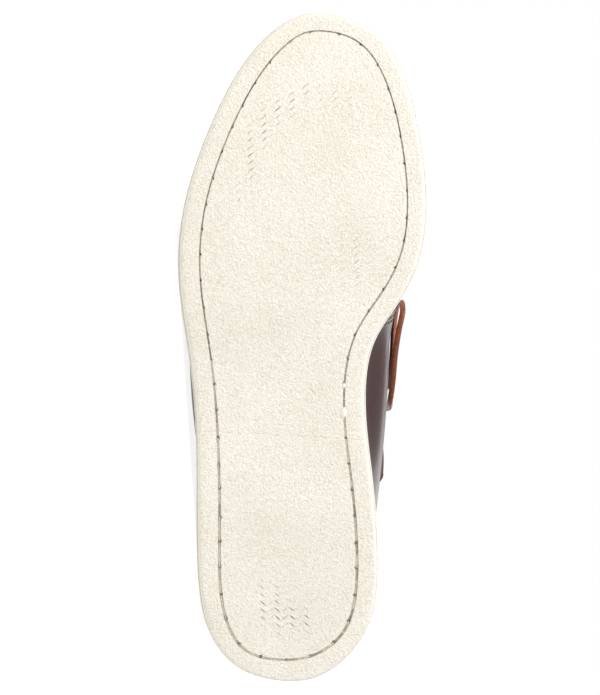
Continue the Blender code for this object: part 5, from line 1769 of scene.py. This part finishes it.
def build_tongue():
    walks = np.linspace(*TONGUE_SPAN, TONGUE_ROWS)
    levels = TONGUE_TOP_LEVEL + (TONGUE_LEVEL - TONGUE_TOP_LEVEL) * smoothstep(*TONGUE_TAPER, walks)
    rows = [
        throat_arch(walk, level, TONGUE_ARCH, TONGUE_POINTS) for walk, level in zip(walks, levels)
    ]
    first, crown = rows[0], rows[0][TONGUE_POINTS // 2]
    tops = [
        crown + (first - crown) * width + np.array([0, -back, up]) * TONGUE_PROUD
        for back, up, width in TONGUE_TOP
    ]
    net = np.array(tops + rows)
    base = net.reshape(-1, 3)
    normals = grid_normals(base, sheet_faces(np.arange(len(base)).reshape(net.shape[:2])))
    normals *= np.sign(normals[:, 2].mean())
    top = WALL + TONGUE_GAP
    under = top + TONGUE_THICKNESS
    points, closed = closed_shell(base - normals * top, base - normals * under, net.shape[1])
    finish_of = (closed >= len(base)).all(axis=1).astype(int)
    tongue = new_piece(
        "instep_tongue", points, closed.tolist(), [cowhide, pigskin],
        finish_of=finish_of, marks={"worn": np.full(len(points), TONGUE_WEAR)}, sharp=180,
    )
    soft = tongue.modifiers.new("soft hide", "SUBSURF")
    soft.levels = soft.render_levels = 3
    return tongue


tongue = set_in_place(build_tongue(), "upper_leather", "tongue")


# %% Sock leather, and the insole
def make_sock_finish():
    finish, tree, shader, place = new_finish(
        "tan sock leather", {"Roughness": 0.55, "Coat Weight": 0.1, "Coat Roughness": 0.4}
    )
    cloud = add_node(tree, "TexNoise", "Fac", sized(place, 22, Detail=4.0))
    tones = ((0.30, "8F6646"), (0.55, "9F7553"), (0.75, "AD8462"))
    body = add_node(tree, "ValToRGB", "Color", {"Fac": cloud}, tones)
    grain = add_node(tree, "TexVoronoi", "Distance", sized(place, 1.3))
    dots = add_node(tree, "ValToRGB", "Color", {"Fac": grain}, ((0.05, "94755C"), (0.25, "FFFFFF")))
    colour = add_node(tree, "Mix", 2, {0: 0.5, 6: body, 7: dots}, **COLOUR_MULTIPLY)
    grained = add_node(tree, "Bump", "Normal", {"Height": grain, "Distance": 0.08 * MM})
    sockets = {"Height": cloud, "Distance": 0.3 * MM, "Normal": grained}
    relief = add_node(tree, "Bump", "Normal", sockets)
    wire(tree, shader, {"Base Color": colour, "Normal": relief})
    return finish


INSOLE_THICKNESS = 0.0035
INSOLE_DIP = 0.0010
INSOLE_DISH, INSOLE_AHEAD, AHEAD_DIP = (0.05, 1.0), (0.25, 0.5), 0.5
INSOLE_SLACK = 5 * CLEARANCE
INSOLE_EDGE = ((0, 0.0), (0, 0.75), (0.012, 0.93), (0.04, 1.0))
INSOLE_SHARES = np.linspace(0.12, 1.0, 9)


def build_insole(finish):
    """A sock with a rounded edge, dished a little under the heel and along its middle."""
    walks = np.linspace(0, 2, 160, endpoint=False)
    feather = WALL_LEVELS.ring("feather_lat", "feather_med", walks) * BALL_WIDTH
    slack = feather + WALL + INSOLE_SLACK
    edge, outward = outline(walks)
    flat = edge - outward * slack[:, None]
    half = len(walks) // 2
    other = np.concatenate([flat[:1], flat[:0:-1]])
    middle = (flat + other) / 2
    rings = []
    for share, low in (*INSOLE_EDGE, *((share, 1.0) for share in INSOLE_SHARES)):
        spot = flat + (middle - flat) * share
        along = spot[:, 1] / LENGTH
        ahead = 1 - AHEAD_DIP * smoothstep(*INSOLE_AHEAD, along)
        dip = INSOLE_DIP * smoothstep(*INSOLE_DISH, share) * ahead
        height = seat_height(along) + CLEARANCE + INSOLE_THICKNESS * low - dip
        rings.append(np.concatenate([spot, height[:, None]], axis=1))
    net = np.stack(rings)
    count = len(walks)
    index = np.arange(net.shape[0] * count).reshape(-1, count)
    faces = grid_faces(index).tolist()
    faces += [(a, (a + 1) % count, count - a - 1, (count - a) % count) for a in range(half)]
    return new_piece("sock_insole", net.reshape(-1, 3), faces, [finish], sharp=60)


sock = make_sock_finish()
insole = set_in_place(build_insole(sock), "sock_leather", "insole")

# %% [markdown]
# ## Brass eyelets and the lace through them
# The eyelets are rolled from thin brass: a barrel through the leather and a rounded flange over
# it. Worn brass is a warm metal with a brown film in its corners. A lace comes up through each
# eyelet, bends over the flange and runs on to the next, so its bars are made with both ends
# diving into their holes. The profile of an eyelet is turned round its axis, as a lathe would,
# and one cutter punches all the holes.

# %% Where the eyelets are, in the standing shoe
EYELET_RADIUS = 0.0039
EYELET_HOLE = 0.0023
EYELET_BARREL = 0.0028
EYELET_FLANGE = 0.0007
FLANGE_ROUND, FLANGE_LOW, THROAT_ROUND = 0.0004, 0.0003, 0.0005
EYELET_EDGE = 0.0075
EYELET_LIFT = 0.0006
COLLAR_LACE_DROP = 0.0105
THROAT_EYELET_WALKS = (0.535, 0.598)
COLLAR_LACE_COLUMNS = ((0.185, 0.262), (0.330, 0.405))
EYELET_SEGMENTS = 40


def eyelet_places():
    """Each eyelet's node, its middle on the leather, its direction, and what plate it packs."""
    places = []
    for row, top_walk in zip(("rear", "front"), THROAT_EYELET_WALKS):
        for side in ("lateral", "medial"):
            column = column_under(np.array([top_walk]))
            column = 2 - column if side == "medial" else column
            level = level_beside(column, TOP, -EYELET_EDGE)
            seat = over_upper(column, level, OVERLAY_GAP + OVERLAY)[0]
            facing = last_normal(column, level)[0]
            places.append((f"eyelet_{row}_{side}", seat, facing, OVERLAY_GAP + OVERLAY))
    for row, columns in zip(("collar_rear", "collar_front"), COLLAR_LACE_COLUMNS):
        for end, column in zip("ab", columns):
            for side in ("lateral", "medial"):
                at = np.array([2 - column if side == "medial" else column])
                level = level_beside(at, TOP, -COLLAR_LACE_DROP)
                seat = over_upper(at, level, 0.0)[0]
                facing = last_normal(at, level)[0]
                places.append((f"eyelet_{row}_{end}_{side}", seat, facing, 0.0))
    return places


eyelets = eyelet_places()
print(len(eyelets), "eyelets")


# %% Antique brass: a metal, warm, with a brown film where nothing rubs it
def make_brass_finish():
    finish, tree, shader, place = new_finish("antique brass", {"Metallic": 1.0})
    film = add_node(tree, "TexNoise", "Fac", sized(place, 1.8, Detail=4.0))
    body = add_node(tree, "ValToRGB", "Color", {"Fac": film}, ((0.35, "7A5A2C"), (0.60, "B8924F")))
    rough = add_node(tree, "MapRange", "Result", {"Value": film, "To Min": 0.48, "To Max": 0.26})
    relief = add_node(tree, "Bump", "Normal", {"Height": film, "Distance": 0.03 * MM})
    wire(tree, shader, {"Base Color": body, "Roughness": rough, "Normal": relief})
    return finish


def eyelet_profile(packed):
    """Radius and height round the eyelet's wall: a flange rolled over the leather, and a barrel."""
    profile = []
    for a in np.radians([-60, -20, 20, 60, 90]):
        radius = EYELET_RADIUS - FLANGE_ROUND + FLANGE_ROUND * math.cos(a)
        profile.append((radius, EYELET_LIFT + FLANGE_LOW + FLANGE_ROUND * math.sin(a)))
    brow = EYELET_LIFT + EYELET_FLANGE - THROAT_ROUND
    for a in np.radians([0, 30, 60, 90]):
        radius = EYELET_HOLE + THROAT_ROUND - THROAT_ROUND * math.sin(a)
        profile.append((radius, brow + THROAT_ROUND * math.cos(a)))
    foot = -packed - WALL
    return profile + [(EYELET_HOLE, foot), (EYELET_BARREL, foot), (EYELET_BARREL, EYELET_LIFT)]


def turned(name, profile, place, direction, finish):
    """A closed profile of radius and height, turned round a direction at a place."""
    turn = np.array(Vector(direction).to_track_quat("Z", "Y").to_matrix())
    angles = 2 * np.pi * np.arange(EYELET_SEGMENTS) / EYELET_SEGMENTS
    radius, height = np.array(profile).T
    heights = np.tile(height, (EYELET_SEGMENTS, 1))
    wheel = [np.outer(np.cos(angles), radius), np.outer(np.sin(angles), radius), heights]
    ring = np.stack(wheel, axis=-1)
    index = np.arange(heights.size).reshape(heights.shape)
    around, onward = np.roll(index, -1, axis=0), np.roll(index, -1, axis=1)
    faces = np.stack([index, around, np.roll(around, -1, axis=1), onward], axis=-1).reshape(-1, 4)
    return new_piece(name, ring.reshape(-1, 3) @ turn.T + place, faces.tolist(), [finish], sharp=60)


brass = make_brass_finish()
for node, seat, direction, packed in eyelets:
    made = turned("rolled_" + node, eyelet_profile(packed), seat, direction, brass)
    set_in_place(made, "eyelet_brass", node)

# %% Punch the eyelets' holes through the upper and the stays
HOLE_SLACK = 0.0003


def punch(leathers):
    """Cuts every eyelet's hole with one cutter, applies the cut, and takes the cutter away."""
    cutter_mesh = bpy.data.meshes.new("hole_punch")
    whole = bmesh.new()
    for _, seat, direction, _ in eyelets:
        turn = Vector(laid_direction(direction)).to_track_quat("Z", "Y").to_matrix().to_4x4()
        bmesh.ops.create_cone(
            whole, cap_ends=True, segments=24, radius1=EYELET_BARREL + HOLE_SLACK,
            radius2=EYELET_BARREL + HOLE_SLACK, depth=4 * (WALL + OVERLAY),
            matrix=Matrix.Translation(laid(seat)) @ turn,
        )
    whole.to_mesh(cutter_mesh)
    whole.free()
    cutter = in_scene("hole_punch", cutter_mesh)
    for leather in leathers:
        cut = leather.modifiers.new("eyelet holes", "BOOLEAN")
        cut.operation, cut.solver, cut.object = "DIFFERENCE", "EXACT", cutter
        bpy.context.view_layer.update()
        shown = leather.evaluated_get(bpy.context.evaluated_depsgraph_get())
        done = bpy.data.meshes.new_from_object(shown)
        leather.modifiers.clear()
        leather.data = done
        print(leather.name, "punched:", len(done.polygons), "faces")
    bpy.data.objects.remove(cutter)


stays = [bpy.data.objects["eyelet_stay_" + side] for side in ("lateral", "medial")]
punch([upper, *stays])

# %% Bars of lace over the throat and along the collar
LACE_WIDTH = 0.0032
LACE_THICKNESS = 0.0024
LACE_SLACK = 0.0007
BAR_BEND = 0.0030
BAR_DIVE = 0.0016
BAR_SPACING = 0.0006
BAR_ENDS = 2
BAR_FLATNESS = 0.9
COLLAR_BAR_BOW = 0.0006
COLLAR_BAR_GAP = 0.0002
THROAT_BAR_ARCH = 0.95


def throat_bar(top_walk, count=25):
    """Middle line and outward directions of a lace's bar from eyelet to eyelet over the throat."""
    column = column_under(np.array([top_walk]))
    level = float(level_beside(column, TOP, -EYELET_EDGE)[0])
    arch = throat_arch(top_walk, level, THROAT_BAR_ARCH, count)
    share = np.linspace(0, 1, count)[:, None]
    normals = last_normal(column, level) * (1 - share) + last_normal(2 - column, level) * share
    ahead = unit(np.gradient(arch, axis=0))
    normals = unit(normals - ahead * np.sum(normals * ahead, axis=1, keepdims=True))
    stays = QUARTER_STEP + OVERLAY_GAP + OVERLAY
    stand = stays + EYELET_LIFT + EYELET_FLANGE + LACE_SLACK + LACE_THICKNESS / 2
    return arch + normals * stand, normals


def collar_bar(first, last, side, count=15):
    columns = np.linspace(first, last, count)
    columns = 2 - columns if side == "medial" else columns
    levels = level_beside(columns, TOP, -COLLAR_LACE_DROP)
    bow = np.sin(np.pi * np.linspace(0, 1, count)) * COLLAR_BAR_BOW
    stand = EYELET_LIFT + EYELET_FLANGE + LACE_THICKNESS / 2 + COLLAR_BAR_GAP
    normals = last_normal(columns, levels)
    return over_upper(columns, levels, stand) + normals * bow[:, None], normals


def diving_bar(name, node, centres, normals):
    """A bar whose ends bend down into their eyelets."""
    start, end = centres[0] - normals[0] * BAR_BEND, centres[-1] - normals[-1] * BAR_BEND
    tips = [start - normals[0] * BAR_DIVE, start]
    tails = [end, end - normals[-1] * BAR_DIVE]
    line = smooth_route(np.concatenate([tips, centres[BAR_ENDS:-BAR_ENDS], tails]), BAR_SPACING)
    across = unit(np.cross(np.gradient(centres, axis=0), normals).mean(axis=0))
    ahead = unit(np.gradient(line, axis=0))
    section = thong_section(LACE_WIDTH, LACE_THICKNESS * BAR_FLATNESS)
    rise = unit(np.cross(np.broadcast_to(across, ahead.shape), ahead))
    points, faces, marks = sweep(line, rise, *section)
    bar = new_piece(name, points, faces, [lace_hide], marks={"cut_edge_and_core_shade": marks})
    return set_in_place(bar, "lace_leather", node)


for row, top_walk in zip(("rear", "front"), THROAT_EYELET_WALKS):
    diving_bar("thong_bar_" + row, "throat_lace_" + row, *throat_bar(top_walk))
for row, (first, last) in zip(("rear", "front"), COLLAR_LACE_COLUMNS):
    for side in ("lateral", "medial"):
        node = f"collar_lace_{row}_{side}"
        diving_bar("thong_" + node, node, *collar_bar(first, last, side))

# %% [markdown]
# ## The knot
# The bow's knot is the same thong, wound twice round itself over the middle of the rear bar. A
# small core fills it, painted darker as the shade between the wraps, and two rings of thong lie
# over it side by side, a little askew, with a third across. A true knot could be tied with a long
# curve, but under the thongs nobody sees which end goes where.

# %% Tie the knot
KNOT_HALF_SIZE = np.array([0.0062, 0.0048, 0.0040])
KNOT_WRAPS = (
    ((0.30, 0.0, 0.0), (0.88, 0.86), 0.10),
    ((-0.30, 0.0, 0.0), (0.86, 0.84), -0.14),
    ((0.0, 0.0, 0.05), (0.62, 0.72), 0.75),
)
KNOT_CORE = (0.86, 0.74, 0.74)
# how much painted shade darkens the knot's core
KNOT_CORE_SHADE = 0.4
KNOT_SAG = 0.10
KNOT_STEPS = 56


def knot_ring(centre, offset, size, twist):
    """A closed turn of thong round the knot, turned about the upright by a twist."""
    angle = np.linspace(0, 2 * np.pi, KNOT_STEPS)
    sideways = np.sin(twist) * np.cos(angle) + KNOT_SAG * np.sin(2 * angle)
    across = np.stack([sideways, np.cos(angle) * np.cos(twist), np.sin(angle)], axis=1)
    reach = KNOT_HALF_SIZE * np.array([1.0, *size])
    line = centre + KNOT_HALF_SIZE * np.array(offset) + across * reach
    return sweep(line, unit(line - centre), *THONG)


def build_knot():
    centres, _ = throat_bar(THROAT_EYELET_WALKS[0], 13)
    stand = LACE_THICKNESS / 2 + CLEARANCE + KNOT_HALF_SIZE[2]
    centre = centres[len(centres) // 2] + np.array([0, 0, stand])
    ball, net = ball_net()
    core = ball * KNOT_HALF_SIZE * np.array(KNOT_CORE) + centre
    # painted shade: the core, seen between the wraps, takes 40% of the lace's dark edge colour
    parts = [(core, net, np.full(len(core), KNOT_CORE_SHADE))]
    parts += [knot_ring(centre, *wrap) for wrap in KNOT_WRAPS]
    points, faces, marks = joined(parts)
    return new_piece("thong_bow_knot", points, faces, [lace_hide], marks={"cut_edge_and_core_shade": marks})


knot = set_in_place(build_knot(), "lace_leather", "bow_knot")

# %% [markdown]
# ## Floor and light
# Shoes for a shop are shot on a white sweep, in soft light from all round, so that hardly a
# shadow falls. The floor is matt white paper that is lit from behind too, hence its own glow.
# The room is white. One broad lamp from the toe's side rakes over the tread a little, which
# shows the sipes, and a second one beyond the shoe gives the polished leather a bright rim.

# %% White paper floor: a matt dielectric that glows as paper lit through does
FLOOR_RADIUS = 3.0


def make_floor():
    finish, tree, shader, place = new_finish(
        "white paper sweep",
        {"Roughness": 0.9, "Emission Color": linear("F6F6F5"), "Emission Strength": 0.95},
    )
    fibre = add_node(tree, "TexNoise", "Fac", sized(place, 3.0, Detail=3.0))
    paper = add_node(tree, "ValToRGB", "Color", {"Fac": fibre}, ((0.3, "949493"), (0.7, "989897")))
    relief = add_node(tree, "Bump", "Normal", {"Height": fibre, "Distance": 0.05 * MM})
    wire(tree, shader, {"Base Color": paper, "Normal": relief})
    shape = bmesh.new()
    bmesh.ops.create_circle(shape, cap_ends=True, radius=FLOOR_RADIUS, segments=96)
    mesh = bpy.data.meshes.new("paper_floor")
    shape.to_mesh(mesh)
    shape.free()
    mesh.materials.append(finish)
    floor = in_scene("paper_floor", mesh)


make_floor()
print("floor", FLOOR_RADIUS, "m round the shoe")

# %% A white room and two soft lamps
ROOM_WHITE = "FFFFFF"
ROOM_STRENGTH = 1.0
LAMP_AIM = np.array([0, 0, 0.04])
LAMPS = (
    ("raking_lamp", (-1.00, 0.80, -0.57), 0.40, 18.0),
    ("leather_lamp", (-0.64, -0.34, 0.88), 0.60, 2.8),
)

room = bpy.data.worlds.new("white room")
bpy.context.scene.world = room
room.use_nodes = True
sky = room.node_tree.nodes["Background"]
sky.inputs["Color"].default_value = linear(ROOM_WHITE)
sky.inputs["Strength"].default_value = ROOM_STRENGTH
shoe_centre = laid(SHOE_MIDDLE + LAMP_AIM)
for name, offset, size, power in LAMPS:
    light = bpy.data.lights.new(name, "AREA")
    light.size = size
    light.energy = power
    lamp = in_scene(name, light)
    lamp.visible_camera = False
    lamp.location = laid(SHOE_MIDDLE + np.array(offset))
    beam = Vector(shoe_centre - np.array(lamp.location))
    lamp.rotation_euler = beam.to_track_quat("-Z", "Y").to_euler()
    print(name, [round(v, 2) for v in lamp.location], power, "W")
